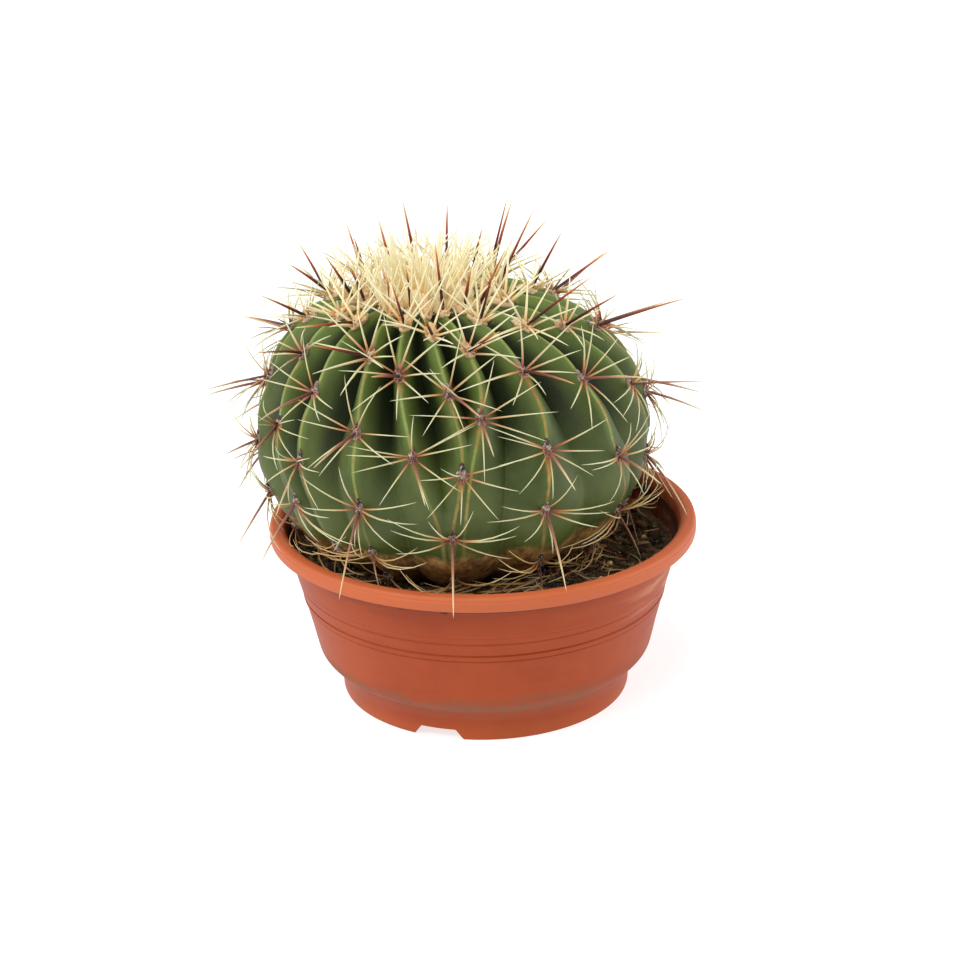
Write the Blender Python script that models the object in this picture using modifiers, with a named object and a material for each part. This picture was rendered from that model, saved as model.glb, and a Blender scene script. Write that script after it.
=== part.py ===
"""A round, ribbed cactus growing in a shallow moulded bowl pot, in metres with +Z up.

The origin is on the plane that the pot stands on, under the middle of the plant's ball. The plant
stands a little to one side of the pot's own axis, and its crown leans the same way.
"""
import math
import random

import bmesh
import bpy
from mathutils import Matrix, Vector, noise

GAP = 0.0003                 # between pieces that touch
SEED = 11

# Pot: a turned shell with a rolled rim, a stepped shoulder and a notched foot ring.
POT_X = 0.015                # the pot's axis, from the plant's
SIDES = 48                   # of the pot and of the soil, which so keep one gap all round
RIM_RADIUS = 0.115
RIM_TOP = 0.098
LIP_BOTTOM = 0.0898
ROLL = 0.0044                # outer radius of the rolled rim's section
WALL = 0.0018
FLOOR_UNDER = 0.0070
FLOOR_TOP = 0.0090
FOOT_INNER = 0.0762
FOOT_DRAFT = 0.0006          # how much wider the foot ring's inside is at its top
FLOOR_INSET = 0.0010         # of the flat floor's edge inside the foot ring
LIP_EDGE = 0.0004            # bevel along the rim's lower edge
OUTER_WALL = (               # radius and height down the outside, from under the rim to the foot
    (0.1018, 0.0700),
    (0.0991, 0.0600),
    (0.0945, 0.0420),
    (0.0920, 0.0310),
    (0.0903, 0.0252),
    (0.0872, 0.0214),
    (0.0840, 0.0194),
    (0.0822, 0.0170),
    (0.0794, 0.0100),
    (0.0783, 0.0000),
)
INNER_WALL_FROM = (0, 2, 4, 5, 7, 8, 9)
NOTCHES = 3
NOTCH_AZIMUTH = -19.0        # degrees, from the front towards the right
NOTCH_OUTLINE = ((-0.0145, -0.001), (0.0145, -0.001), (0.0095, 0.0058), (-0.0095, 0.0058))
NOTCH_DEPTH = 0.012
GUSSETS = 18
GUSSET_AZIMUTH = -2.0
GUSSET_THICKNESS = 0.0014
GUSSET_OUTLINE = (           # radius and height, with every upper corner inside the rim's wall
    (0.1054, 0.0852),
    (0.1141, 0.0910),
    (0.1141, 0.0945),
    (0.1122, 0.0970),
    (0.1090, 0.0970),
    (0.1071, 0.0945),
)

# Soil: fills the pot to a little below its rim, with a plain hollow that the plant stands in.
SOIL_TOP = 0.0835
SOIL_RINGS = (0.040, 0.064, 0.078, 0.092)
SOIL_ROUGHNESS = 0.0016
SOIL_LUMP = 0.022
SOIL_CORNER = 0.0030         # height and depth of the cut corner round the soil's underside
SOIL_FLAT_EDGE = 0.97        # part of the soil's radius past which its surface is left flat
HOLLOW_RINGS = 27            # puts one of the hollow's rings at the plant's BODY_END

# Plant: a ball flattened top and bottom, whose crest lines all lie on one spheroid.
BODY_Z = 0.1484
BODY_RADIUS = 0.1040
BODY_HALF_HEIGHT = 0.0852
BODY_END = 160.0             # polar angle of the flat underside, in degrees from the top
BODY_RINGS = 21
COLUMNS_PER_RIB = 4
CROWN_SHIFT = Vector((-0.012, -0.012, 0.0))
CROWN_SHIFT_FROM = 75.0      # the crown's lean starts here and is whole at the next angle
CROWN_SHIFT_TO = 10.0
CROWN_DIP = 0.010
CROWN_DIP_SPREAD = 22.0

# Crest lines: azimuth in degrees at each of the polar angles in RIB_KNOTS, then the polar angles
# of the spine cushions. The ribs at -15, 0 and 13 degrees run together low down, as forked ribs do.
RIB_KNOTS = (20, 50, 80, 105, 130)
FRONT_RIBS = (
    ((-84, -84, -77, -74, -74), (26, 46, 66, 88, 107)),
    ((-62, -62, -61, -54, -52), (30, 50, 77, 101, 122)),
    ((-44, -46, -48, -42, -40), (31, 61, 85, 110)),
    ((-28, -28, -28, -26, -26), (21, 44, 71, 97, 116)),
    ((-14, -15, -9, -3.4, -3.4), (29, 50, 78)),
    ((0, 1, 2.6, 0, 0), (33, 56, 84, 107, 130)),
    ((12, 13, 6, 3.4, 3.4), (25, 41, 65)),
    ((32, 30, 28, 27, 31), (30, 51, 78, 99, 124)),
    ((49, 50, 52, 60, 64), (20, 36, 59, 88, 113)),
    ((68, 69, 75, 80, 80), (24, 42, 69, 98, 118)),
    ((88, 88, 90, 94, 96), (31, 55, 79, 104)),
)
BACK_RIBS = 10
BACK_FIRST = 105.5
BACK_STEP = 17.2
BACK_WANDER = 2.0
BACK_CUSHION_WANDER = 2.5
BACK_CUSHIONS = ((22, 43, 68, 94, 117), (31, 55, 80, 106))

# Valleys: polar angle, depth, and how sharp the crest is (1 is a straight-sided ridge).
VALLEYS = (
    (16, 0.0000, 1.0),
    (22, 0.0060, 1.0),
    (32, 0.0120, 1.1),
    (45, 0.0165, 1.2),
    (60, 0.0155, 1.3),
    (75, 0.0105, 1.6),
    (90, 0.0060, 2.0),
    (115, 0.0050, 2.2),
    (134, 0.0080, 1.8),
    (160, 0.0060, 1.4),
)
FORK_CLOSED = 3.0            # degrees between crests where their valley is gone
FORK_OPEN = 12.0             # and where it has its whole depth

# Spines: three-sided needles, radial ones in a star round a central one, all drawn out of the
# faces of a small knob that is half sunk in the skin.
KNOB_RADIUS = 0.0016
RADIALS = 6
RADIAL_LENGTH = 0.036
RADIAL_RISE = 22.0           # degrees off the skin
STAR_TURN = 10.0             # degrees that a star may be turned either way
CENTRAL_LENGTHS = ((20, 0.050), (60, 0.044), (85, 0.037), (130, 0.036))
CENTRAL_DROOP = ((20, 18), (75, 22), (90, 32), (105, 50), (130, 50))
CENTRAL_SWING = 9.0
SPINE_CLEARANCE = 0.0020     # between the middles of needles from two cushions
SPINE_FREE_FROM = 0.08       # part of its length from which a needle must be clear
KEEP_OFF = 0.0030            # between needles and the soil, the rim and the crown's pad
SPINE_TRIES = ((0, 0), (8, 6), (-8, 6), (14, 14), (-14, 14), (0, 24), (20, 24), (-20, 24), (0, 40))

# Crown: a woolly pad in the dip at the top, with the young spines that stand in it.
PAD_RADIUS = 0.0250
PAD_HEIGHT = 0.0085
PAD_SIDES = 24
PAD_RINGS = 4
YOUNG_ROOT = 0.0020
YOUNG_SPINES = 110
YOUNG_RADIUS = 0.00075
YOUNG_LENGTHS = (0.025, 0.038)
YOUNG_LEAN = 55.0
YOUNG_TRIES = 40
YOUNG_SPREAD = 0.82          # part of the pad's radius that the young spines stand in
YOUNG_TURN = 10.0            # degrees that a young spine may be turned and tilted, either way
YOUNG_TILT = 8.0
GOLDEN_ANGLE = 137.508


# ---------------------------------------------------------------- helpers

def clear_scene():
    for old in list(bpy.data.objects):
        bpy.data.objects.remove(old, do_unlink=True)
    for mesh in list(bpy.data.meshes):
        bpy.data.meshes.remove(mesh)


def material(name, colour, roughness):
    made = bpy.data.materials.new(name)
    made.use_nodes = True
    shader = made.node_tree.nodes["Principled BSDF"]
    shader.inputs["Base Color"].default_value = (*colour, 1.0)
    shader.inputs["Roughness"].default_value = roughness
    shader.inputs["Metallic"].default_value = 0.0
    made.diffuse_color = (*colour, 1.0)
    return made


def new_object(name, mesh, collection):
    made = bpy.data.objects.new(name, mesh)
    collection.objects.link(made)
    return made


def mesh_from(bm, name):
    mesh = bpy.data.meshes.new(name)
    bm.to_mesh(mesh)
    bm.free()
    return mesh


def between(table, at, column=1):
    """Read a table of rows (angle, value, ...) at an angle, easing from row to row."""
    if at <= table[0][0]:
        return table[0][column]
    for low, high in zip(table, table[1:]):
        if at <= high[0]:
            part = (at - low[0]) / (high[0] - low[0])
            return low[column] + (high[column] - low[column]) * part
    return table[-1][column]


def smooth(part):
    part = min(1.0, max(0.0, part))
    return part * part * (3.0 - 2.0 * part)


def turned(name, profile, sides, collection, at=(0.0, 0.0, 0.0)):
    """A solid of revolution from a profile that runs from the axis, over the top, back to it."""
    mesh = bpy.data.meshes.new(name)
    points = [(radius, 0.0, height) for radius, height in profile]
    mesh.from_pydata(points, [(i, i + 1) for i in range(len(points) - 1)], [])
    made = new_object(name, mesh, collection)
    made.location = at
    screw = made.modifiers.new("Turn", "SCREW")
    screw.axis = "Z"
    screw.angle = math.tau
    screw.steps = sides
    screw.render_steps = sides
    screw.use_merge_vertices = True
    screw.merge_threshold = 0.00001
    return made


def made_real(obj):
    """Swap an object's mesh for the one its modifiers give, with its place in the mesh."""
    bpy.context.view_layer.update()
    graph = bpy.context.evaluated_depsgraph_get()
    mesh = bpy.data.meshes.new_from_object(obj.evaluated_get(graph))
    mesh.transform(obj.matrix_world)
    obj.modifiers.clear()
    obj.data = mesh
    obj.matrix_world = Matrix.Identity(4)


def boolean(obj, tools, operation):
    """Join tools to an object, or cut them from it, apply that and remove the tools."""
    group = bpy.data.collections.new("tools")
    bpy.context.scene.collection.children.link(group)
    for tool in tools:
        group.objects.link(tool)
    step = obj.modifiers.new(operation.title(), "BOOLEAN")
    step.operation = operation
    step.operand_type = "COLLECTION"
    step.collection = group
    step.solver = "EXACT"
    bpy.context.view_layer.objects.active = obj
    bpy.ops.object.modifier_apply(modifier=step.name)
    for tool in tools:
        bpy.data.objects.remove(tool, do_unlink=True)
    bpy.data.collections.remove(group)


def plate(outline, thickness):
    """A flat plate, its outline across and up, its thickness centred on the plane."""
    curve = bpy.data.curves.new("outline", "CURVE")
    curve.dimensions = "2D"
    curve.fill_mode = "BOTH"
    curve.extrude = thickness / 2
    spline = curve.splines.new("POLY")
    spline.points.add(len(outline) - 1)
    for point, (across, up) in zip(spline.points, outline):
        point.co = (across, up, 0.0, 1.0)
    spline.use_cyclic_u = True
    flat = bpy.data.objects.new("outline", curve)
    bpy.context.scene.collection.objects.link(flat)
    bpy.context.view_layer.update()
    graph = bpy.context.evaluated_depsgraph_get()
    mesh = bpy.data.meshes.new_from_object(flat.evaluated_get(graph))
    bpy.data.objects.remove(flat, do_unlink=True)
    bm = bmesh.new()
    bm.from_mesh(mesh)
    bmesh.ops.remove_doubles(bm, verts=bm.verts, dist=0.00001)
    bmesh.ops.recalc_face_normals(bm, faces=bm.faces)
    bm.to_mesh(mesh)
    bm.free()
    mesh.transform(Matrix.Rotation(math.radians(90), 4, "X"))
    return mesh


def ring_of(mesh, count, first, face_outwards, name, collection):
    """Copies of a mesh about the pot's axis, in one object. Azimuth runs from -Y towards +X."""
    bm = bmesh.new()
    for index in range(count):
        azimuth = math.radians(first + 360.0 * index / count)
        turn = azimuth if face_outwards else azimuth - math.pi / 2
        copy = mesh.copy()
        copy.transform(Matrix.Translation((POT_X, 0, 0)) @ Matrix.Rotation(turn, 4, "Z"))
        bm.from_mesh(copy)
        bpy.data.meshes.remove(copy)
    return new_object(name, mesh_from(bm, name), collection)


# ---------------------------------------------------------------- pot and soil

def inner_wall():
    """Points of the outer wall, moved in by the wall's thickness, floor first."""
    line = [Vector(OUTER_WALL[index]) for index in INNER_WALL_FROM]
    moved = []
    for index in range(len(line) - 1):
        before = line[max(0, index - 1)]
        along = (line[index + 1] - before).normalized()
        moved.append(line[index] + Vector((along.y, -along.x)) * WALL)
    return [(point.x, point.y) for point in reversed(moved)]


def arc(radius, start, end, steps):
    """Points round the rolled rim's centre, in degrees from straight out."""
    centre = (RIM_RADIUS - ROLL, RIM_TOP - ROLL)
    angles = [math.radians(start + (end - start) * i / steps) for i in range(steps + 1)]
    return [(centre[0] + radius * math.cos(a), centre[1] + radius * math.sin(a)) for a in angles]


def make_pot(collection):
    lip = ROLL - WALL
    outer, inner = RIM_RADIUS, RIM_RADIUS - WALL
    profile = [(0.0, FLOOR_TOP), (FOOT_INNER - FLOOR_INSET, FLOOR_TOP)]
    profile += inner_wall()
    profile += arc(ROLL, 180, 0, 5)
    profile += [(outer, LIP_BOTTOM + LIP_EDGE), (outer - LIP_EDGE, LIP_BOTTOM)]
    profile += [(inner + LIP_EDGE, LIP_BOTTOM), (inner, LIP_BOTTOM + LIP_EDGE)]
    profile += arc(lip, 0, 180, 3)
    profile += OUTER_WALL
    profile += [(FOOT_INNER, 0.0), (FOOT_INNER + FOOT_DRAFT, FLOOR_UNDER), (0.0, FLOOR_UNDER)]
    pot = turned("pot", profile, SIDES, collection, (POT_X, 0, 0))
    made_real(pot)

    gusset = plate(GUSSET_OUTLINE, GUSSET_THICKNESS)
    boolean(pot, [ring_of(gusset, GUSSETS, GUSSET_AZIMUTH, False, "gussets", collection)], "UNION")
    notch = plate(NOTCH_OUTLINE, NOTCH_DEPTH)
    notch.transform(Matrix.Translation((0, -(FOOT_INNER + FLOOR_INSET), 0)))
    boolean(pot, [ring_of(notch, NOTCHES, NOTCH_AZIMUTH, True, "notches", collection)], "DIFFERENCE")
    pot.data.materials.clear()
    pot.data.materials.append(material("pot_plastic", (0.52, 0.155, 0.062), 0.62))
    return pot


def make_soil(collection):
    wall = [(radius - GAP, height) for radius, height in inner_wall()]
    slope = (wall[-1][0] - wall[-2][0]) / (wall[-1][1] - wall[-2][1])
    edge = wall[-1][0] + slope * (SOIL_TOP - wall[-1][1])
    profile = [(0.0, SOIL_TOP)] + [(radius, SOIL_TOP) for radius in SOIL_RINGS]
    profile += [(edge, SOIL_TOP)]
    profile += [point for point in reversed(wall) if point[1] > FLOOR_TOP + SOIL_CORNER]
    profile += [(FOOT_INNER - SOIL_CORNER, FLOOR_TOP + GAP), (0.0, FLOOR_TOP + GAP)]
    soil = turned("soil", profile, SIDES, collection, (POT_X, 0, 0))
    made_real(soil)
    for vertex in soil.data.vertices:
        from_axis = math.hypot(vertex.co.x - POT_X, vertex.co.y)
        if vertex.co.z > SOIL_TOP - GAP and from_axis < edge * SOIL_FLAT_EDGE:
            lump = noise.noise(vertex.co / SOIL_LUMP)
            vertex.co.z += lump * SOIL_ROUGHNESS

    hollow = bmesh.new()
    bmesh.ops.create_uvsphere(hollow, u_segments=SIDES, v_segments=HOLLOW_RINGS, radius=1.0)
    for vertex in hollow.verts:
        grown = (BODY_RADIUS + 2 * GAP, BODY_RADIUS + 2 * GAP, BODY_HALF_HEIGHT + 2 * GAP)
        vertex.co = Vector([vertex.co[axis] * grown[axis] for axis in range(3)])
        vertex.co.z = max(vertex.co.z + BODY_Z, body_bottom() - GAP)
    cutter = new_object("hollow", mesh_from(hollow, "hollow"), collection)
    boolean(soil, [cutter], "DIFFERENCE")
    soil.data.materials.clear()
    soil.data.materials.append(material("potting_soil", (0.035, 0.024, 0.017), 0.95))
    return soil


# ---------------------------------------------------------------- the plant's ball

def make_ribs():
    """Every rib as its crest line and the polar angles of its spine cushions, in order round."""
    draw = random.Random(SEED)
    ribs = [([(knot, float(at)) for knot, at in zip(RIB_KNOTS, line)], cushions)
            for line, cushions in FRONT_RIBS]
    for index in range(BACK_RIBS):
        azimuth = BACK_FIRST + BACK_STEP * index
        line = [(knot, azimuth + draw.uniform(-BACK_WANDER, BACK_WANDER)) for knot in RIB_KNOTS]
        cushions = [polar + draw.uniform(-BACK_CUSHION_WANDER, BACK_CUSHION_WANDER)
                    for polar in BACK_CUSHIONS[index % 2]]
        ribs.append((line, cushions))
    return ribs


def crest(rib, polar):
    return between(rib[0], polar)


def envelope(azimuth, polar):
    """A point on the spheroid of the crests, and the way out of it. Angles in degrees."""
    a, p = math.radians(azimuth), math.radians(polar)
    across = Vector((math.sin(a), -math.cos(a), 0.0))
    point = across * (BODY_RADIUS * math.sin(p))
    point.z = BODY_Z + BODY_HALF_HEIGHT * math.cos(p)
    out = across * (math.sin(p) / BODY_RADIUS)
    out.z = math.cos(p) / BODY_HALF_HEIGHT
    return point, out.normalized()


def lean(point, polar):
    """Move a point of the ball with the leaning crown and down into the dip in it."""
    part = smooth((CROWN_SHIFT_FROM - polar) / (CROWN_SHIFT_FROM - CROWN_SHIFT_TO))
    moved = point + CROWN_SHIFT * part
    moved.z -= CROWN_DIP * math.exp(-(polar / CROWN_DIP_SPREAD) ** 2)
    return moved


def skin(azimuth, polar, depth=0.0):
    point, out = envelope(azimuth, polar)
    return lean(point - out * depth, polar)


def body_bottom():
    return BODY_Z + BODY_HALF_HEIGHT * math.cos(math.radians(BODY_END))


def valley(polar, gap, part):
    """Depth below the crests, a part of the way from one crest to the next."""
    opened = smooth((gap - FORK_CLOSED) / (FORK_OPEN - FORK_CLOSED))
    down = 1.0 - abs(2.0 * part - 1.0)
    return between(VALLEYS, polar) * opened * down ** between(VALLEYS, polar, 2)


def make_body(ribs, collection):
    """A sphere whose columns follow the crests and valleys, four to a rib."""
    columns = len(ribs) * COLUMNS_PER_RIB
    bm = bmesh.new()
    bmesh.ops.create_uvsphere(bm, u_segments=columns, v_segments=BODY_RINGS + 1, radius=1.0)
    for vertex in bm.verts:
        flat = math.hypot(vertex.co.x, vertex.co.y)
        ring = round(math.atan2(flat, vertex.co.z) / math.pi * (BODY_RINGS + 1))
        if ring == 0:
            vertex.co = skin(0.0, 0.0)
            continue
        if ring == BODY_RINGS + 1:
            vertex.co = Vector((0.0, 0.0, body_bottom()))
            continue
        polar = BODY_END * ring / BODY_RINGS
        column = round(math.atan2(vertex.co.x, -vertex.co.y) / math.tau * columns) % columns
        index, step = divmod(column, COLUMNS_PER_RIB)
        here = crest(ribs[index], polar)
        there = crest(ribs[(index + 1) % len(ribs)], polar)
        if index + 1 == len(ribs):
            there += 360.0
        part = step / COLUMNS_PER_RIB
        azimuth = here + (there - here) * part
        vertex.co = skin(azimuth, polar, valley(polar, there - here, part))
        if ring == BODY_RINGS:
            vertex.co.z = body_bottom()
    bmesh.ops.recalc_face_normals(bm, faces=bm.faces)
    return new_object("cactus", mesh_from(bm, "cactus"), collection)


# ---------------------------------------------------------------- spines

def segment_gap(first, second):
    """The least distance between two straight needles, each a pair of ends."""
    p, q = first[0], second[0]
    u, v = first[1] - p, second[1] - q
    w = p - q
    a, b, c, d, e = u.dot(u), u.dot(v), v.dot(v), u.dot(w), v.dot(w)
    spread = a * c - b * b
    s = min(1.0, max(0.0, (b * e - c * d) / spread)) if spread > 1e-12 else 0.0
    t = min(1.0, max(0.0, (b * s + e) / c))
    s = min(1.0, max(0.0, (b * t - d) / a))
    return (p + u * s - q - v * t).length


def clear_of_neighbours(root, tip):
    """True where a needle passes over the soil, the rim and the crown's pad, or outside them."""
    for step in range(9):
        point = root.lerp(tip, step / 8)
        from_crown = math.hypot(point.x - CROWN_SHIFT.x, point.y - CROWN_SHIFT.y)
        if from_crown < PAD_RADIUS + KEEP_OFF:
            bulge = math.sqrt(max(0.0, 1.0 - (from_crown / PAD_RADIUS) ** 2))
            if point.z < skin(0, 0).z + PAD_HEIGHT * bulge + KEEP_OFF:
                return False
        from_axis = math.hypot(point.x - POT_X, point.y)
        if from_axis > RIM_RADIUS + KEEP_OFF:
            continue
        if point.z < RIM_TOP + KEEP_OFF and from_axis > RIM_RADIUS - 3 * ROLL:
            return False
        if point.z < SOIL_TOP + KEEP_OFF:
            return False
    return True


def spine_frame(rib, polar):
    """The seat of a spine cushion, and its directions out of the skin, up the rib and across."""
    azimuth = crest(rib, polar)
    seat = skin(azimuth, polar)
    up = (skin(azimuth, polar - 1.0) - skin(azimuth, polar + 1.0)).normalized()
    across = (skin(azimuth + 1.0, polar) - skin(azimuth - 1.0, polar)).normalized()
    out = across.cross(up).normalized()
    return seat, out, up, across


def fits(needle, own, spines):
    """True where a needle meets neither the pot and soil nor another cushion's needle."""
    root, tip = needle
    near = (root.lerp(tip, SPINE_FREE_FROM), tip)
    if not clear_of_neighbours(*near):
        return False
    others = (other for cushion, other in spines if cushion != own)
    return all(segment_gap(near, other) > SPINE_CLEARANCE for other in others)


def central_way(frame, polar, swing):
    out, up, across = frame
    droop = math.radians(between(CENTRAL_DROOP, polar))
    aside = math.radians(swing)
    way = (out * math.cos(droop) - up * math.sin(droop)) * math.cos(aside)
    return (way + across * math.sin(aside)).normalized()


def radial_way(frame, angle, rise):
    out, up, across = frame
    round_it, off = math.radians(angle), math.radians(rise)
    star = across * math.cos(round_it) + up * math.sin(round_it)
    return (star * math.cos(off) + out * math.sin(off)).normalized()


def grow_spines(cushions):
    """All needles as (cushion's number, (root, tip)), the central ones first."""
    draw = random.Random(SEED + 1)
    spines = []
    for own, (polar, seat, *frame) in enumerate(cushions):
        length = between(CENTRAL_LENGTHS, polar) * draw.uniform(0.92, 1.0)
        swing = draw.uniform(-CENTRAL_SWING, CENTRAL_SWING)
        for turn, lift in SPINE_TRIES:
            way = central_way(frame, polar, swing + turn) + frame[0] * math.sin(math.radians(lift))
            needle = (seat, seat + way.normalized() * length)
            if fits(needle, own, spines):
                spines.append((own, needle))
                break
    for own, (polar, seat, *frame) in enumerate(cushions):
        first = draw.uniform(-STAR_TURN, STAR_TURN) + 180.0 / RADIALS * (own % 2)
        for index in range(RADIALS):
            length = RADIAL_LENGTH * draw.uniform(0.86, 1.0)
            for turn, lift in SPINE_TRIES:
                way = radial_way(frame, first + turn + 360.0 * index / RADIALS, RADIAL_RISE + lift)
                needle = (seat, seat + way * length)
                if fits(needle, own, spines):
                    spines.append((own, needle))
                    break
    return spines


def make_star(bm, seat, frame, tips):
    """A twenty-sided knob, one face straight out, with a face drawn out to each needle's tip."""
    out, up, across = frame
    knob = bmesh.new()
    bmesh.ops.create_icosphere(knob, subdivisions=1, radius=KNOB_RADIUS)
    knob.normal_update()
    highest = max(knob.faces, key=lambda face: face.normal.z)
    level = highest.normal.rotation_difference(Vector((0, 0, 1))).to_matrix()
    stand = Matrix((across, up, out)).transposed() @ level
    bmesh.ops.transform(knob, matrix=Matrix.Translation(seat) @ stand.to_4x4(), verts=knob.verts)
    knob.normal_update()
    free = set(knob.faces)
    drawn = []
    for tip in tips:
        way = (tip - seat).normalized()
        face = max(free, key=lambda each: each.normal.dot(way))
        free.remove(face)
        drawn.append((face, tip))
    for face, tip in drawn:
        poked = bmesh.ops.poke(knob, faces=[face])
        poked["verts"][0].co = tip
    star = mesh_from(knob, "star")
    bm.from_mesh(star)
    bpy.data.meshes.remove(star)


def make_cactus(collection):
    ribs = make_ribs()
    cushions = [(polar, *spine_frame(rib, polar)) for rib in ribs for polar in rib[1]]
    spines = grow_spines(cushions)
    stars = bmesh.new()
    for own, (_polar, seat, *frame) in enumerate(cushions):
        tips = [needle[1] for cushion, needle in spines if cushion == own]
        make_star(stars, seat, frame, tips)
    cactus = make_body(ribs, collection)
    boolean(cactus, [new_object("stars", mesh_from(stars, "stars"), collection)], "UNION")
    cactus.data.materials.clear()
    cactus.data.materials.append(material("cactus_flesh", (0.085, 0.155, 0.060), 0.55))
    return cactus, spines


# ---------------------------------------------------------------- crown

def add_needle(bm, needle, radius):
    root, tip = needle
    along = tip - root
    turn = Vector((0, 0, 1)).rotation_difference(along).to_matrix().to_4x4()
    middle = Matrix.Translation(root.lerp(tip, 0.5)) @ turn
    bmesh.ops.create_cone(bm, cap_ends=True, segments=3, radius1=radius, radius2=0.0,
                          depth=along.length, matrix=middle)


def pad_point(radius, side, height):
    """A point of the pad: its underside follows the dip, a gap above it."""
    azimuth = 360.0 * side / PAD_SIDES
    polar = math.degrees(math.asin(min(1.0, radius / BODY_RADIUS)))
    low = skin(azimuth, polar)
    bulge = math.sqrt(max(0.0, 1.0 - (radius / PAD_RADIUS) ** 2))
    return low + Vector((0, 0, 2 * GAP + height * bulge))


def make_crown(spines, collection):
    """A flattened sphere for the pad, then the young spines, each clear of the grown ones."""
    draw = random.Random(SEED + 2)
    bm = bmesh.new()
    bmesh.ops.create_uvsphere(bm, u_segments=PAD_SIDES, v_segments=2 * PAD_RINGS, radius=1.0)
    for vertex in bm.verts:
        flat = math.hypot(vertex.co.x, vertex.co.y)
        side = math.atan2(vertex.co.x, -vertex.co.y) / math.tau * PAD_SIDES
        height = PAD_HEIGHT if vertex.co.z > 0.01 else 0.0
        if abs(vertex.co.z) <= 0.01:
            flat = 1.0
        vertex.co = pad_point(PAD_RADIUS * flat, side, height)
    bmesh.ops.recalc_face_normals(bm, faces=bm.faces)
    pad = new_object("crown_tuft", mesh_from(bm, "crown_tuft"), collection)

    grown = [needle for _own, needle in spines]
    young = []
    for index in range(YOUNG_SPINES):
        outwards = math.sqrt((index + 0.5) / YOUNG_SPINES)
        azimuth = GOLDEN_ANGLE * index
        for _try in range(YOUNG_TRIES):
            around = math.radians(azimuth + draw.uniform(-YOUNG_TURN, YOUNG_TURN))
            lean_out = YOUNG_LEAN * outwards
            tilt = math.radians(lean_out + draw.uniform(-YOUNG_TILT, YOUNG_TILT))
            seat = pad_point(PAD_RADIUS * YOUNG_SPREAD * outwards,
                             azimuth / 360.0 * PAD_SIDES, PAD_HEIGHT)
            way = Vector((math.sin(around) * math.sin(tilt),
                          -math.cos(around) * math.sin(tilt), math.cos(tilt)))
            length = draw.uniform(*YOUNG_LENGTHS)
            needle = (seat - way * YOUNG_ROOT, seat + way * length)
            near_grown = min(segment_gap(needle, other) for other in grown)
            near_young = min([segment_gap(needle, other) for other in young] or [1.0])
            if near_grown > SPINE_CLEARANCE and near_young > SPINE_CLEARANCE:
                young.append(needle)
                break
    tool = bmesh.new()
    for needle in young:
        add_needle(tool, needle, YOUNG_RADIUS)
    boolean(pad, [new_object("young", mesh_from(tool, "young"), collection)], "UNION")
    pad.data.materials.clear()
    pad.data.materials.append(material("young_spines", (0.78, 0.66, 0.40), 0.60))
    return pad


def main():
    clear_scene()
    collection = bpy.data.collections.new("potted_round_cactus")
    bpy.context.scene.collection.children.link(collection)
    pot = make_pot(collection)
    soil = make_soil(collection)
    cactus, spines = make_cactus(collection)
    crown = make_crown(spines, collection)
    for obj in (pot, soil, cactus, crown):
        obj.data.shade_smooth()
        obj.data.set_sharp_from_angle(angle=math.radians(35))


main()
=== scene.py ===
"""The looks of a round ribbed cactus in a terracotta-coloured plastic bowl, in metres, +Z up.

The plant's axis is at the origin and the bowl's axis stands a little to its right. An azimuth is
in degrees from the front (-Y) towards the right (+X), and a polar angle in degrees from the top.
"""
import math
import random
from functools import partialmethod
from math import radians

import bpy
import numpy as np
from mathutils import Matrix, Vector, noise


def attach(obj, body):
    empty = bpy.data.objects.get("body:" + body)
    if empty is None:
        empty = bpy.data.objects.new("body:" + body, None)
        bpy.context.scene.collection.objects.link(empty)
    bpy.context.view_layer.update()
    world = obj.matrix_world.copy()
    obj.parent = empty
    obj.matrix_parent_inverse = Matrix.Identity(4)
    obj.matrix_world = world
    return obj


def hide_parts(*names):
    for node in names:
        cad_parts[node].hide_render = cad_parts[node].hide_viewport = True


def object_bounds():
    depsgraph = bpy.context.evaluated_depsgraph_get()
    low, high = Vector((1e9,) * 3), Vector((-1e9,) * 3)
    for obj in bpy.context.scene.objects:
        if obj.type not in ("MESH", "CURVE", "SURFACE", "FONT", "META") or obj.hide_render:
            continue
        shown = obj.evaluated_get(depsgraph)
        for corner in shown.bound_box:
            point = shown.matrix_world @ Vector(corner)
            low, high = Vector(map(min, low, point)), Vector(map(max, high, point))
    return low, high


# ---------------- driving sizes

POT_X = 0.015
POT_SIDES = 144
RIM_RADIUS = 0.115
RIM_TOP = 0.0978
LIP_BOTTOM = 0.0898
ROLL = 0.0044
WALL = 0.0018
RIM_CORNER = 0.0022          # radius of the rim's outer top edge
RIM_CORNER_IN = 0.0026       # how far in and down from the rim its middle lies
RIM_BAND = ((0.00044, 0.0029), (0.00012, 0.0033), (0.00004, 0.0045))      # in from the rim, down
LIP_EDGE = ((0.0, 0.0007), (0.0001, 0.0003), (0.0004, 0.0), (0.0013, 0.0), (0.0018, 0.0006))
FLOOR_UNDER = 0.0070
FLOOR_TOP = 0.0090
FLOOR_RING = 0.0400          # a ring of corners in the middle of the floor
FLOOR_EDGE = 0.002           # the floor's last ring, in from the foot
INNER_RINGS = 37             # up the inside of the wall
INNER_STEP = 0.002
HUB = 0.0010                 # the small ring that a turned piece starts from
FOOT_INNER = 0.0762
FOOT_EDGE = (0.0776, 0.0006)
OUTER_WALL = (               # height and radius, up from the foot
    (0.0000, 0.0783),
    (0.0100, 0.0794),
    (0.0170, 0.0822),
    (0.0194, 0.0840),
    (0.0214, 0.0872),
    (0.0252, 0.0903),
    (0.0310, 0.0920),
    (0.0420, 0.0945),
    (0.0600, 0.0991),
    (0.0700, 0.1018),
    (0.0850, 0.1052),
)
GROOVES = ((0.0695, 0.00015), (0.0654, 0.00045), (0.0580, 0.00045), (0.0546, 0.00040))
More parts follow.
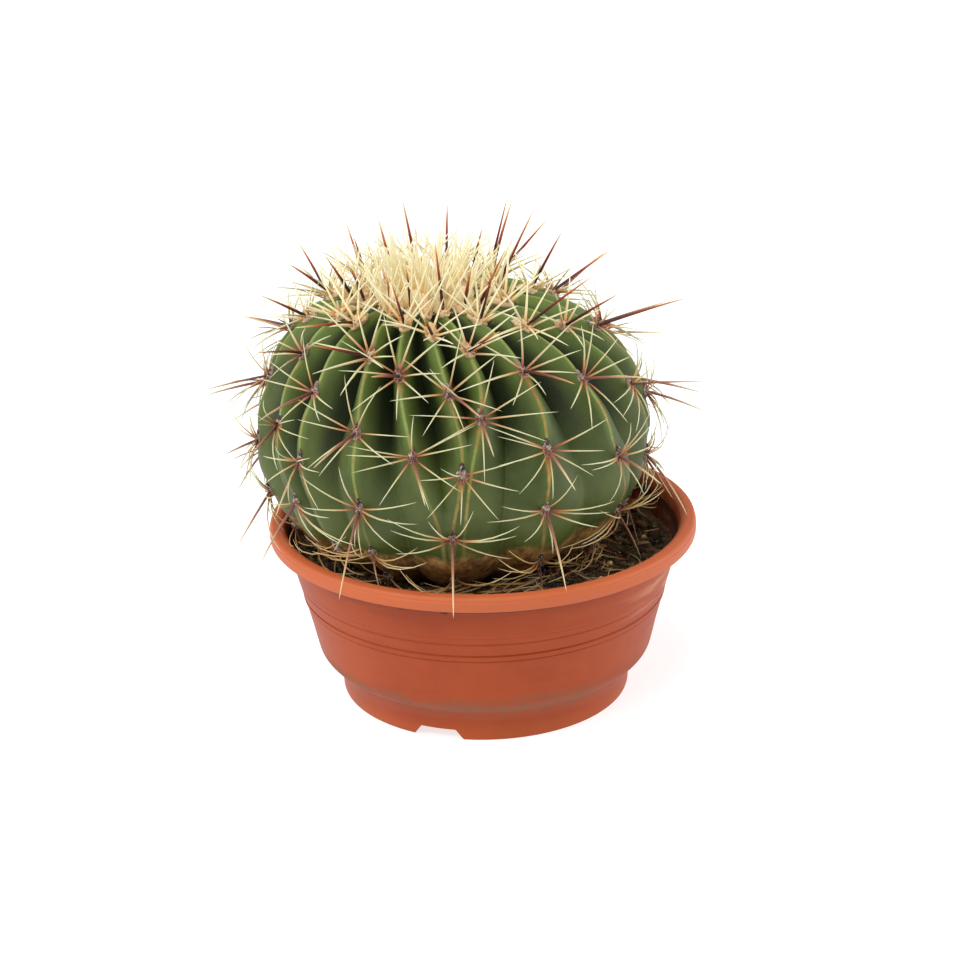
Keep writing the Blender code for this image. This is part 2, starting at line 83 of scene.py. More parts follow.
GROOVE_WIDTH = 0.00045
BAND_EDGE = 0.0005           # over which the band rises from the wall
WALL_SLOPE = 0.25            # how fast the wall widens near the soil's level
BAND_PROUD = 0.00035         # of the band between the two lower grooves
WALL_RINGS = (               # down the outside: first height, step, and how many
    (0.0845, 0.0015, 37),
    (0.0295, 0.0005, 30),
)
FOOT_RINGS = (0.0148, 0.0120, 0.0080, 0.0040, 0.0012)
GROOVE_STEP = 0.00022
CLOSEST_RINGS = 0.00018
NOTCHES = 3
NOTCH_AZIMUTH = -19.0
NOTCH_FOOT = 0.029           # width at the table, and at the notch's flat top
NOTCH_HEAD = 0.019
NOTCH_TOP = 0.0058
NOTCH_DEPTH = 0.012
NOTCH_SPARE = 0.001          # of the cutting block, below the foot and outwards
GUSSETS = 18
GUSSET_AZIMUTH = -2.0
GUSSET_THICKNESS = 0.0016
GUSSET_INNER = 0.1045
GUSSET_LOW = 0.0008          # above the lip's lower edge
GUSSET_HIGH = 0.0020         # below the rim's top
GUSSET_DROP = 0.0034         # how much lower a web reaches at the wall than at the lip
GUSSET_LEAN = 0.0028         # how far its upper inner corners lie outwards, clear of the rim's wall

SOIL_TOP = 0.0835
SOIL_SIDES = 220
SOIL_RING = 0.0019
SOIL_SIDE = (0.0125, 0.008, 9)         # first height of the rings down its side, step, and how many
SOIL_GAP = 0.0004            # to the wall
SOIL_GAP_UNDER = 0.0003      # to the floor
HOLLOW = 1.006               # size of the hollow in the soil, over the ball's own
SOIL_FALL = 0.0035           # how much lower the soil lies on the bowl's open side
OPEN_SIDE = (0.02, 0.07)     # right of the bowl's axis: where it starts to fall, and over what width
SOIL_LUMPS = (0.021, 0.0020)           # width and height
SOIL_CRUMBS = (0.0055, 0.0018)
GROUND_BOX = (-0.09, 0.118, -0.105, 0.105)       # left, right, front and back of the loose soil
CLEAR_OF_BALL = 0.066        # its least distance from the plant's axis
REACH = 0.0985               # its greatest distance from the bowl's axis
CRUMBS = 3600
CRUMB_SIZES = (0.0005, 0.0012)
CLOD_KINDS = (               # how many, least distance from the plant's axis, stretch, smallest,
                             # largest, power that keeps most small, flatness, range of tones
    (420, 0.066, (1.0, 1.0, 1.0), 0.0012, 0.0038, 3, 1.0, (0.00, 0.56)),
    (40, 0.075, (1.0, 1.0, 1.0), 0.0016, 0.0030, 1, 0.8, (0.78, 0.88)),
    (200, 0.072, (2.6, 1.0, 0.35), 0.0010, 0.0020, 1, 0.6, (0.40, 0.70)),
)
BEADS = 12
BEAD_SIZES = (0.0011, 0.0016)
BEADS_CLEAR = 0.080          # their least distance from the plant's axis
LITTER_RADII = (0.0003, 0.0005)
FALLEN = 150                 # needles on the soil
FALLEN_LENGTHS = (0.010, 0.030)
FALLEN_RING = (0.067, 0.097)           # least distance from the plant's axis, greatest from the bowl's
FALLEN_REACH = 0.0995        # how far from the bowl's axis their ends may lie
STRAWS = 34                  # close under the ball, at the front and right
STRAW_LENGTHS = (0.012, 0.028)
STRAW_RING = (0.075, 0.086)  # from the plant's axis
STRAW_AZIMUTHS = (-12.0, 78.0)
STRAW_REACH = 0.0990

BODY_Z = 0.1484
BODY_RADIUS = 0.1040
BODY_HALF_HEIGHT = 0.0852
BODY_END = 160.0
BODY_RINGS = 150
COLUMNS_PER_RIB = 20
CROWN_SHIFT = Vector((-0.012, -0.012, 0.0))
CROWN_SHIFT_FROM = 75.0
CROWN_SHIFT_TO = 10.0
CROWN_DIP = 0.010
CROWN_DIP_SPREAD = 22.0
CREST_ROUND = 0.10           # part of a rib's half width that rounds its crest
CREST_MM = 95.0              # mm down a crest to a radian of its polar angle
FAR_MM = 99.0                # stands for a place with no cushion above it
SCALLOP = 0.0012             # swell of a crest between two cushions
SKIN_RIPPLE = 0.0005
RIPPLE_WIDTH = 0.017

# Ribs seen from the front: the crest's azimuth at each polar angle of RIB_KNOTS, then every spine
# cushion as its polar angle and its central spine's droop, swing and length in mm.
RIB_KNOTS = (20, 50, 80, 105, 130)
FRONT_RIBS = (
    ((-84, -84, -77, -74, -74),
     ((22, 18, 14, 40), (40, 28, -18, 40), (66, 30, 0, 44), (88, 15, 10, 20), (107, 30, 10, 34))),
    ((-62, -62, -60, -51, -57),
     ((30, 25, 8, 0), (50, 11, 30, 40), (77, 26, 38, 42), (102, 40, -15, 38), (124, 30, -20, 30))),
    ((-44, -46, -48, -42, -40),
     ((31, 44, 12, 42), (61, 22, 10, 42), (85, 24, 30, 42), (119, 25, -25, 0))),
    ((-28, -28, -28, -26, -26),
     ((21, 30, 10, 34), (44, 18, -14, 44), (71, 21, 0, 42), (97, 42, 2, 47), (116, 40, 16, 30))),
    ((-14, -15, -10, -3.4, -3.4),
     ((28, 39, 10, 42), (50, 17, -5, 42), (77, 32, 20, 42))),
    ((0, 1, 3.2, 0, 0),
     ((33, 33, -3, 40), (56, 25, 17, 40), (83, 60, 8, 0), (107, 22, 0, 42), (131, 35, 0, 0))),
    ((14, 13, 6, 3.4, 3.4),
     ((20, 21, -10, 40), (41, 18, 10, 36), (65, 30, -4, 38))),
    ((32, 30, 28, 27, 31),
     ((28, 15, 10, 40), (51, 31, -2, 42), (78, 21, -10, 40), (99, 29, -6, 44), (124, 45, 6, 28))),
    ((49, 50, 52, 60, 64),
     ((20, -10, 25, 40), (36, 23, 35, 45), (59, 21, -2, 42), (88, -3, -27, 42), (113, 42, 25, 36))),
    ((68, 69, 75, 80, 80),
     ((24, 10, 10, 0), (42, 18, 0, 40), (69, 32, 36, 44), (98, 40, 5, 42), (118, 42, 20, 34))),
    ((92, 88, 90, 94, 96),
     ((20, 12, 10, 48), (50, 26, -14, 50), (79, 28, 0, 42), (104, 40, 0, 36))),
)
BACK_RIBS = (                # azimuth at the back, and the polar angles of its cushions
    (105.5, (31, 56, 81, 106)),
    (122.7, (22, 43, 67, 92, 116)),
    (139.0, (31, 55, 80, 106)),
    (155.0, (40, 64, 88, 112)),
    (171.0, (31, 55, 80, 106)),
    (188.5, (29, 52, 77, 102)),
    (205.0, (30, 54, 79, 105)),
    (222.5, (32, 56, 81, 107)),
    (241.0, (40, 64, 88, 112)),
    (259.0, (30, 52, 77, 102)),
)
BACK_WANDER = 1.5

# Needles as they look from the front, by rib and polar angle of their cushion: the clock angle
# (0 is to the right, 90 is up) and the length in mm that shows.
CENTRALS = {
    (0, 22): (121, 24), (0, 40): (154, 26), (2, 31): (184, 30), (3, 21): (97, 20), (4, 28): (107, 22),
    (5, 33): (115, 11), (6, 20): (97, 36), (7, 28): (77, 27), (8, 20): (66, 31), (8, 36): (39, 42),
    (9, 42): (32, 31), (9, 69): (4, 38), (10, 20): (66, 46), (10, 50): (19, 49),
    (11, 31): (63, 33), (11, 56): (19, 36),
    (12, 43): (36, 40), (12, 67): (0, 36), (13, 31): (50, 38), (14, 40): (77, 43), (15, 31): (90, 37),
    (16, 29): (102, 37), (17, 30): (104, 34), (18, 32): (108, 34), (19, 40): (118, 32),
    (20, 30): (143, 26), (20, 52): (165, 26),
}
STARS = {
    (1, 50): ((117, 23), (86, 12), (185, 19), (217, 20), (31, 16), (155, 22)),
    (1, 77): ((120, 14), (178, 10), (17, 9), (337, 17), (271, 22), (299, 20), (152, 12)),
    (1, 102): ((336, 18), (325, 36), (318, 30), (300, 22), (190, 9), (176, 14)),
    (1, 124): ((166, 17), (352, 27), (345, 30), (325, 24), (20, 16)),
    (2, 61): ((101, 28), (145, 27), (166, 29), (207, 28), (221, 22), (281, 14), (319, 12)),
    (2, 85): ((172, 18), (150, 14), (15, 5), (330, 11), (213, 20), (257, 22), (292, 26)),
    (3, 44): ((135, 34), (105, 22), (73, 25), (33, 19), (4, 12), (166, 28), (196, 28), (232, 22),
              (326, 8)),
    (3, 71): ((101, 28), (62, 25), (150, 32), (167, 29), (216, 29), (229, 27), (356, 26), (320, 23)),
    (3, 97): ((116, 22), (7, 28), (346, 29), (316, 30), (275, 24), (264, 18), (239, 24), (178, 27),
              (150, 33)),
    (3, 116): ((7, 22), (351, 27), (340, 20), (170, 30), (178, 30), (150, 12)),
    (4, 50): ((104, 30), (70, 29), (41, 29), (5, 20), (319, 18), (266, 20), (216, 28), (175, 29),
              (149, 33)),
    (4, 77): ((89, 19), (27, 34), (12, 29), (170, 31), (178, 32), (194, 30), (235, 28), (288, 26),
              (325, 28)),
    (5, 56): ((78, 30), (143, 27), (39, 31), (343, 26), (293, 18), (237, 23), (187, 28), (127, 14)),
    (5, 83): ((15, 28), (345, 28), (310, 27), (268, 23), (230, 26), (186, 20), (165, 10)),
    (5, 107): ((144, 14), (54, 17), (162, 33), (171, 30), (193, 28), (12, 33), (4, 31), (343, 30)),
    (5, 131): ((166, 28), (172, 24), (10, 29), (4, 24)),
    (6, 41): ((108, 21), (72, 27), (40, 30), (23, 29), (355, 24), (210, 15), (168, 16), (134, 19)),
    (6, 65): ((77, 29), (138, 34), (32, 34), (6, 37), (342, 33), (273, 30), (209, 31), (177, 34)),
    (7, 51): ((94, 27), (45, 34), (21, 30), (359, 25), (314, 15), (252, 17), (198, 33), (147, 24)),
    (7, 78): ((159, 31), (165, 25), (197, 25), (236, 25), (275, 23), (331, 25), (0, 27), (28, 32)),
    (7, 99): ((47, 22), (8, 34), (359, 31), (343, 27), (279, 21), (237, 18), (175, 21), (191, 29)),
    (7, 124): ((190, 20), (200, 24), (176, 20), (12, 22), (25, 18), (160, 16)),
    (8, 36): ((87, 26), (60, 27), (22, 27), (335, 21), (310, 8), (204, 31), (150, 12), (120, 20)),
    (8, 59): ((92, 26), (80, 29), (50, 27), (26, 26), (5, 20), (315, 30), (279, 25), (247, 16)),
    (8, 88): ((56, 29), (45, 23), (69, 17), (20, 18), (303, 23), (258, 23), (207, 15), (193, 19)),
    (8, 113): ((48, 28), (35, 26), (25, 27), (175, 9), (217, 30), (212, 34), (222, 24)),
    (9, 42): ((84, 28), (103, 16), (60, 24), (25, 22), (340, 20), (310, 14), (200, 24), (160, 12)),
    (9, 69): ((65, 12), (75, 22), (5, 9), (228, 13), (255, 17), (275, 24), (300, 18), (40, 14)),
    (9, 98): ((58, 20), (75, 14), (40, 12), (315, 10), (290, 9)),
    (9, 118): ((28, 22), (18, 20), (8, 17), (350, 16), (200, 14)),
}
DEEPEST_LEAN = 42            # mm to the viewer or away that such a needle may lean
LEAST_RISE = 9.0             # degrees that it rises from the skin
RISE_WEIGHT = 0.35           # how much its rise counts beside its length, and how much sinking does
SINK_WEIGHT = 4.0
CENTRAL_RISE = 70.0
CENTRAL_DROOP = ((20, 12), (60, 20), (90, 28), (130, 42))
CENTRAL_LENGTHS = ((20, 44), (60, 44), (90, 40), (130, 28))
CENTRAL_SWING = 14.0
SEED = 11
UP = Vector((0.0, 0.0, 1.0))

VALLEYS = (                  # polar angle, depth, and how sharp the crest is
    (16, 0.0000, 1.0),
    (22, 0.0060, 1.0),
    (32, 0.0125, 1.1),
    (45, 0.0175, 1.15),
    (60, 0.0175, 1.2),
    (75, 0.0125, 1.5),
    (90, 0.0068, 1.9),
    (112, 0.0050, 2.2),
    (122, 0.0046, 1.6),
    (134, 0.0048, 1.2),
    (160, 0.0060, 1.0),
)
FORK_CLOSED = 3.0
FORK_OPEN = 12.0

# Radial spines: azimuth round the cushion (0 is to the right, 90 up the rib) and part of the length.
OPEN_STAR = ((20, 1.0), (-22, 1.0), (-62, 0.85), (-112, 0.85), (-158, 1.0), (160, 1.0), (118, 0.7),
             (66, 0.7))
SWEPT_STAR = ((12, 1.0), (-9, 1.0), (-34, 0.95), (-72, 0.8), (-118, 0.85), (-152, 0.95), (-172, 1.0),
              (168, 1.0), (126, 0.55), (52, 0.6))
SWEPT_FROM = 68.0
SPARSE_ABOVE = 21.0          # the newest cushions have every other needle, as the dry ones have
RADIAL_LENGTHS = ((15, 0.028), (35, 0.031), (60, 0.034), (90, 0.034), (120, 0.032), (135, 0.030))
RADIAL_RISE = ((15, 74), (22, 62), (30, 46), (40, 34), (60, 28), (90, 30), (130, 30))
RADIAL_BEND = ((15, 4), (35, 12), (60, 26), (90, 42), (130, 52))
RADIAL_RADIUS = 0.00047
CENTRAL_RADIUS = 0.00082
CENTRAL_BEND = 12.0
SPARE = 0.0012               # between a needle and the bowl
HAIR_RADIUS = 0.00011
YOUNG_FELT = (0.0034, 0.0064, 0.0028)       # half width, half height and depth of a cushion
GROWN_FELT = (0.0026, 0.0034, 0.0017)
YOUNG_FELT_UP = 0.0024       # how far up the rib from the seat the youngest felt lies
SCAR = (0.0012, 0.0021, 0.0013)
SCAR_FROM = 0.35             # age from which a cushion has a dry flower scar
SCAR_GAP = 0.0006            # above the felt
YOUNG_FUZZ = (70, 0.0034)    # hairs on a cushion, and their length
GROWN_FUZZ = (34, 0.0019)
YOUNG_UNTIL = 0.25

CROWN_CUSHIONS = (17, 20)    # the youngest cushions of every rib, in the wool
CROWN_CENTRAL = 26.0
ROOM_FOR_NEWEST = 5.0
LAST_ROW = (100.0, 118.0)    # a rib that ends between these angles gets a dry cushion below
ROW_STEP = 16.0
GROWN_FROM = 22.0            # polar angles over which cushions age, and over which they dry up
GROWN_OVER = 55.0
DRY_FROM = 105.0
DRY_OVER = 14.0
PAD_RADIUS = 0.0250
PAD_HEIGHT = 0.0075
YOUNG_CLUMPS = (             # share of the pad's radius, clumps, needles, lean, shortest, longest
    (0.12, 4, 7, 5.0, 0.008, 0.018),
    (0.38, 8, 7, 10.0, 0.009, 0.020),
    (0.62, 9, 5, 18.0, 0.014, 0.034),
    (0.90, 11, 6, 30.0, 0.013, 0.036),
)
YOUNG_RADIUS = 0.00082
PAD_TUFTS = 60
TUFT = (0.002, 0.002, 0.001)           # half width, half height and depth
TUFT_FUZZ = (9, 0.0036)      # hairs in a tuft, and their length

LIGHT_AIM = Vector((0.0, 0.0, 0.13))
SIDE_LIGHTS = (              # name, place, size, power
    ("right", (1.3, 0.1, 0.6), 0.6, 8.5),
    ("left", (-1.4, -0.2, 0.7), 0.7, 5.0),
)
SUN_WAY = Vector((0.40, 0.40, -1.0))
SUN_POWER = 2.5
SUN_ANGLE = 50.0
WORLD_LIGHT = 0.45

CAMERA_ELEVATION = 21.45
CAMERA_ROLL = -1.15
CAMERA_DISTANCE = 1.300
CAMERA_AIM = Vector((0.01655, 0.0, 0.11286))
CAMERA_LENS = 89.71


# ---------------- small maths

def smooth(part):
    part = min(1.0, max(0.0, part))
    return part * part * (3.0 - 2.0 * part)


def between(table, at, column=1):
    """Read a table of rows (angle, value, ...) at an angle, on a smooth curve through its rows."""
    if at <= table[0][0]:
        return table[0][column]
    if at >= table[-1][0]:
        return table[-1][column]
    low = max(i for i in range(len(table) - 1) if at >= table[i][0])

    def slope(row):
        before, after = table[max(0, row - 1)], table[min(len(table) - 1, row + 1)]
        return (after[column] - before[column]) / (after[0] - before[0])

    span = table[low + 1][0] - table[low][0]
    t = (at - table[low][0]) / span
    start, end = table[low][column], table[low + 1][column]
    bend = start * (1 - t) ** 2 * (1 + 2 * t) + end * t * t * (3 - 2 * t)
    return bend + span * t * (1 - t) * (slope(low) * (1 - t) - slope(low + 1) * t)


# ---------------- modelling by hand

def only(piece):
    bpy.ops.object.select_all(action="DESELECT")
    piece.select_set(True)
    bpy.context.view_layer.objects.active = piece


def placed(piece):
    """Put a piece's place, turn and size into its mesh."""
    only(piece)
    bpy.ops.object.transform_apply(location=True, rotation=True, scale=True)
    return piece


def added(name):
    """Name the primitive that was just added."""
    piece = bpy.context.object
    piece.name = name
    piece.data.name = name
    return piece


def round_solid(name, segments, rings, at=(0.0, 0.0, 0.0), size=(1.0, 1.0, 1.0)):
    """A globe of meridians and rings, with its half sizes, in its place."""
    bpy.ops.mesh.primitive_uv_sphere_add(segments=segments, ring_count=rings, radius=1.0,
                                         location=at, scale=size)
    return placed(added(name))


def turned(name, profile, sides, axis=(0.0, 0.0)):
    """A turned solid: a small ring drawn out ring by ring along a profile, closed at both ends."""
    bpy.ops.object.select_all(action="DESELECT")
    radius, height = profile[0]
    bpy.ops.mesh.primitive_circle_add(vertices=sides, radius=radius, location=(*axis, height))
    piece = added(name)
    bpy.ops.object.mode_set(mode="EDIT")
    for next_radius, next_height in profile[1:]:
        rise = {"value": (0.0, 0.0, next_height - height)}
        bpy.ops.mesh.extrude_edges_move(TRANSFORM_OT_translate=rise)
        grow = next_radius / radius
        bpy.ops.transform.resize(value=(grow, grow, 1.0), center_override=(*axis, next_height))
        radius, height = next_radius, next_height
    bpy.ops.mesh.merge(type="CENTER")
    bpy.ops.mesh.select_all(action="DESELECT")
    bpy.ops.mesh.select_non_manifold()
    bpy.ops.mesh.merge(type="CENTER")
    bpy.ops.mesh.select_all(action="SELECT")
    bpy.ops.mesh.normals_make_consistent(inside=False)
    bpy.ops.object.mode_set(mode="OBJECT")
    return placed(piece)


def applied(piece, kind, **settings):
    """Add a modifier with its settings and apply it."""
    only(piece)
    step = piece.modifiers.new(kind.title(), kind)
    for name, value in settings.items():
        setattr(step, name, value)
    bpy.ops.object.modifier_apply(modifier=step.name)
    return piece


def pick(piece, test):
    """Go into edit mode with only the corners selected that pass a test."""
    only(piece)
    bpy.ops.object.mode_set(mode="EDIT")
    bpy.ops.mesh.select_mode(type="VERT")
    bpy.ops.mesh.select_all(action="DESELECT")
    bpy.ops.object.mode_set(mode="OBJECT")
    for vertex in piece.data.vertices:
        vertex.select = test(vertex.co)
    bpy.ops.object.mode_set(mode="EDIT")


def moved(piece, test, shift):
    """Move the corners that pass a test."""
    pick(piece, test)
    bpy.ops.transform.translate(value=shift)
    bpy.ops.object.mode_set(mode="OBJECT")


def cut_or_joined(piece, tool, operation):
    applied(piece, "BOOLEAN", object=tool, operation=operation, solver="EXACT")
    bpy.data.objects.remove(tool, do_unlink=True)


def ring_of(piece, count, first, name):
    """Copies of a piece that stands at the front, each with its own mesh, round the bowl's axis."""
    middle = Matrix.Translation((POT_X, 0.0, 0.0))
    copies = []
    for index in range(count):
        turn = Matrix.Rotation(radians(first + 360.0 * index / count), 4, "Z")
        copy = piece.copy()
        copy.data = piece.data.copy()
        bpy.context.collection.objects.link(copy)
        copy.data.transform(middle @ turn @ middle.inverted())
        copies.append(copy)
    bpy.data.objects.remove(piece, do_unlink=True)
    bpy.ops.object.select_all(action="DESELECT")
    for copy in copies:
        copy.select_set(True)
    bpy.context.view_layer.objects.active = copies[0]
    bpy.ops.object.join()
    return added(name)


def shaded(piece, angle=35.0):
    only(piece)
    bpy.ops.object.shade_smooth_by_angle(angle=radians(angle))
    return piece


# ---------------- repeats

def pattern_of(piece):
    """The points and faces of a modelled piece, which is then put away."""
    points = np.array([vertex.co for vertex in piece.data.vertices])
    faces = [tuple(face.vertices) for face in piece.data.polygons]
    bpy.data.objects.remove(piece, do_unlink=True)
    return points, faces


def round_pattern(subdivisions):
    """The points and faces of a round lump of unit radius."""
    bpy.ops.mesh.primitive_ico_sphere_add(subdivisions=subdivisions, radius=1.0, location=(0, 0, 0))
    return pattern_of(placed(added("lump")))


def stored(mesh, name, values):
    """Keep a value for every point, for the finish to read."""
    mesh.attributes.new(name, "FLOAT", "POINT").data.foreach_set("value", values)


def repeated(name, faces, copies, finish, angle=60.0):
    """One piece from many copies of a pattern: each is its own points and its attribute values."""
    each = len(copies[0][0])
    points = np.concatenate([copy[0] for copy in copies])
    indices = [tuple(corner + each * index for corner in face)
               for index in range(len(copies)) for face in faces]
    mesh = bpy.data.meshes.new(name)
    mesh.from_pydata(points.tolist(), [], indices)
    for mark in copies[0][1]:
        values = np.concatenate([np.broadcast_to(copy[1][mark], each) for copy in copies])
        stored(mesh, mark, values.astype(np.float32))
    mesh.materials.append(finish)
    piece = bpy.data.objects.new(name, mesh)
    bpy.context.collection.objects.link(piece)
    return shaded(piece, angle)


def needle_pattern(sides, shape):
    """A straight needle of unit length and unit radius at its foot."""
    return pattern_of(turned("needle", [(radius, height) for height, radius in shape], sides))


def needle_copy(points, shape, draw, age, dry):
    """A needle in its place, with the values that its finish reads."""
    return shape, {"along": points[:, 2], "age": age, "dry": dry, "tone": draw.random()}


def bent(points, seat, along, towards, length, radius, bend):
    """The unit needle's points once it leaves a seat along one direction and bends to another."""
    height = points[:, 2:3]
    bend = max(bend, 0.01)
    along, towards, seat = np.array(along), np.array(towards), np.array(seat)
    middle = seat + length * (along * np.sin(bend * height) + towards * (1 - np.cos(bend * height))) / bend
    side = np.cross(along, towards)
    over = towards * np.cos(bend * height) - along * np.sin(bend * height)
    return middle + radius * (side * points[:, 0:1] + over * points[:, 1:2])


NEEDLE_SHAPE = ((0.0, 0.55), (0.012, 1.12), (0.05, 1.0), (0.2, 0.94), (0.4, 0.84), (0.6, 0.68),
                (0.8, 0.48), (0.94, 0.25), (1.0, 0.05))
HAIR_SHAPE = ((0.0, 1.0), (0.6, 0.6), (1.0, 0.08))
WAYS_CLEAR = ((0.0, 1.0), (0.0, 0.92), (0.25, 0.95), (0.0, 0.8), (0.25, 0.8), (0.5, 0.85), (0.0, 0.6),
              (0.5, 0.6))    # lift and share of its length with which a needle may clear the bowl


# ---------------- the plant's measure

def make_ribs():
    """Every rib as its crest line and its cushions (polar angle, droop, swing, length in mm)."""
    draw = random.Random(SEED)
    ribs = [(list(zip(RIB_KNOTS, line)), list(cushions)) for line, cushions in FRONT_RIBS]
    for azimuth, polars in BACK_RIBS:
        line = [(knot, azimuth + draw.uniform(-BACK_WANDER, BACK_WANDER)) for knot in RIB_KNOTS]
        cushions = [(polar, between(CENTRAL_DROOP, polar), draw.uniform(-CENTRAL_SWING, CENTRAL_SWING),
                     between(CENTRAL_LENGTHS, polar)) for polar in polars]
        ribs.append((line, cushions))
    return ribs


def across_of(azimuth):
    """The level direction away from the axis at an azimuth in radians."""
    return Vector((math.sin(azimuth), -math.cos(azimuth), 0.0))


def crest(rib, polar):
    return between(rib[0], polar)


def swell(rib, polar):
    """How far a crest stands proud between two cushions."""
    polars = [cushion[0] for cushion in rib[1]]
    for high, low in zip(polars, polars[1:]):
        if high < polar < low:
            return SCALLOP * math.sin(math.pi * (polar - high) / (low - high)) ** 2
    return 0.0


def skin(azimuth, polar, depth=0.0):
    """A point of the ball, a depth under the spheroid of its crests, with the leaning crown."""
    a, p = radians(azimuth), radians(polar)
    across = across_of(a)
    point = across * (BODY_RADIUS * math.sin(p))
    point.z = BODY_Z + BODY_HALF_HEIGHT * math.cos(p)
    out = across * (math.sin(p) / BODY_RADIUS)
    out.z = math.cos(p) / BODY_HALF_HEIGHT
    point -= out.normalized() * depth
    lean = smooth((CROWN_SHIFT_FROM - polar) / (CROWN_SHIFT_FROM - CROWN_SHIFT_TO))
    point += CROWN_SHIFT * lean
    point.z -= CROWN_DIP * math.exp(-(polar / CROWN_DIP_SPREAD) ** 2)
    return point


def seat_of(rib, polar):
    """A cushion's seat, and its directions out of the skin, up the rib and across it."""
    azimuth = crest(rib, polar)
    up = (skin(azimuth, polar - 1.0) - skin(azimuth, polar + 1.0)).normalized()
    across = (skin(azimuth + 1.0, polar) - skin(azimuth - 1.0, polar)).normalized()
    return skin(azimuth, polar), across.cross(up).normalized(), up, across


def camera_frame():
    """The camera's directions: to its right, up and back."""
    lift, roll = radians(CAMERA_ELEVATION), radians(CAMERA_ROLL)
    level_up = Vector((0.0, math.sin(lift), math.cos(lift)))
    right = Vector((math.cos(roll), 0.0, 0.0)) + level_up * math.sin(roll)
    up = level_up * math.cos(roll) - Vector((math.sin(roll), 0.0, 0.0))
    return right, up, Vector((0.0, -math.cos(lift), math.sin(lift)))


def seen_way(frame, look, usual_length, usual_rise):
    """A needle from its foot to its tip, from its clock angle and length as seen from the front.

    It leans to the viewer or away, as suits its usual length in metres and rise in degrees best.
    """
    seat, out = frame[0], frame[1]
    _right, view_up, view_back = camera_frame()
    back = (CAMERA_AIM + view_back * CAMERA_DISTANCE - seat).normalized()
    right = view_up.cross(back).normalized()
    angle, shown = radians(look[0]), look[1] / 1000.0
    level = (right * math.cos(angle) + back.cross(right) * math.sin(angle)) * shown

    def strain(depth):
        way = level + back * depth
        rise = math.degrees(math.asin(way.normalized().dot(out)))
        sunk = max(0.0, LEAST_RISE - rise)
        off = abs(way.length - usual_length) * 1000
        return off + abs(rise - usual_rise) * RISE_WEIGHT + sunk * SINK_WEIGHT

    return level + back * min([0.001 * mm for mm in range(-DEEPEST_LEAN, DEEPEST_LEAN + 1)], key=strain)


def age_of(polar):
    """0 for a cushion in the crown's wool, 1 for a full-grown one."""
    return smooth((polar - GROWN_FROM) / GROWN_OVER)


def all_cushions(ribs):
    """Every spine cushion of the ball, from the crown's wool down to the dry ones at the soil."""
    found = []
    for index, rib in enumerate(ribs):
        first, last = rib[1][0][0], rib[1][-1][0]
        newest = CROWN_CUSHIONS[index % 2]
        rows = list(rib[1])
        if first - newest > ROOM_FOR_NEWEST:
            rows.append((newest, 10.0, 0.0, CROWN_CENTRAL if index % 3 == 1 else 0.0))
        if LAST_ROW[0] < last < LAST_ROW[1]:
            rows.append((last + ROW_STEP, 35.0, 0.0, 0.0))
        for polar, droop, swing, length in rows:
            found.append({"rib": index, "polar": polar, "frame": seat_of(rib, polar),
                          "droop": droop, "swing": swing, "length": length / 1000.0,
                          "star": STARS.get((index, polar)), "central": CENTRALS.get((index, polar)),
                          "age": age_of(polar), "dry": smooth((polar - DRY_FROM) / DRY_OVER)})
    return found


# ---------------- materials

class Wire:
    """A socket of a material. Sums on it add Math nodes, and node() adds any other node."""

    def __init__(self, tree, socket=None):
        self.tree = tree
        self.socket = socket

    def node(self, kind, settings, values, output=0):
        made = self.tree.nodes.new("ShaderNode" + kind)
        for name, setting in settings.items():
            if name == "stops":
                self.set_stops(made.color_ramp.elements, setting)
            else:
                setattr(made, name, setting)
        for name, value in values.items():
            self.feed(made.inputs[name], value)
        return Wire(self.tree, made.outputs[output])

    def feed(self, socket, value):
        if isinstance(value, Wire):
            self.tree.links.new(value.socket, socket)
        elif socket.type == "RGBA":
            socket.default_value = (*value, 1.0)
        else:
            socket.default_value = value

    @staticmethod
    def set_stops(elements, stops):
        elements[0].position, elements[-1].position = stops[0][0], stops[-1][0]
        for place, _colour in stops[1:-1]:
            elements.new(place)
        for element, (_place, colour) in zip(elements, stops):
            element.color = (*colour, 1.0)

    def sum(self, operation, other):
        return self.node("Math", {"operation": operation}, {0: self, 1: other})

    __add__ = __radd__ = partialmethod(sum, "ADD")
    __mul__ = __rmul__ = partialmethod(sum, "MULTIPLY")
    __sub__ = partialmethod(sum, "SUBTRACT")


def finished(material, **inputs):
    """The material, once wires and values are on its shader's inputs."""
    shader = material.node_tree.nodes["Principled BSDF"]
    for name, value in inputs.items():
        socket = shader.inputs[name.replace("_", " ").title().replace("Ior", "IOR")]
        Wire(material.node_tree).feed(socket, value)
    return material


def new_finish(name, **uniform):
    """A material with its uniform values, and the place on its surface."""
    material = bpy.data.materials.new(name)
    material.use_nodes = True
    place = Wire(material.node_tree).node("TexCoord", {}, {}, "Object")
    return finished(material, **uniform), place


def marks(place, *names):
    """Values that are stored on the piece's points."""
    return [place.node("Attribute", {"attribute_name": name}, {}, "Fac") for name in names]


def part_of(place, axis):
    return place.node("SeparateXYZ", {}, {"Vector": place}, axis)


def stretched(place, scale):
    return place.node("Mapping", {}, {"Vector": place, "Scale": scale})


def speckle(place, scale, detail=4.0, roughness=0.6):
    """Noise from 0 to 1, its middle at a half. The scale is in lumps per metre."""
    return place.node("TexNoise", {}, {"Vector": place, "Scale": scale, "Detail": detail,
                                       "Roughness": roughness})


def rising(value, low, high):
    """0 at low, 1 at high and eased between them; low may be the larger."""
    return value.node("MapRange", {"interpolation_type": "SMOOTHSTEP"},
                      {"Value": value, "From Min": low, "From Max": high})


def mixed(share, first, second):
    return share.node("Mix", {"data_type": "RGBA"}, {0: share, 6: first, 7: second}, 2)


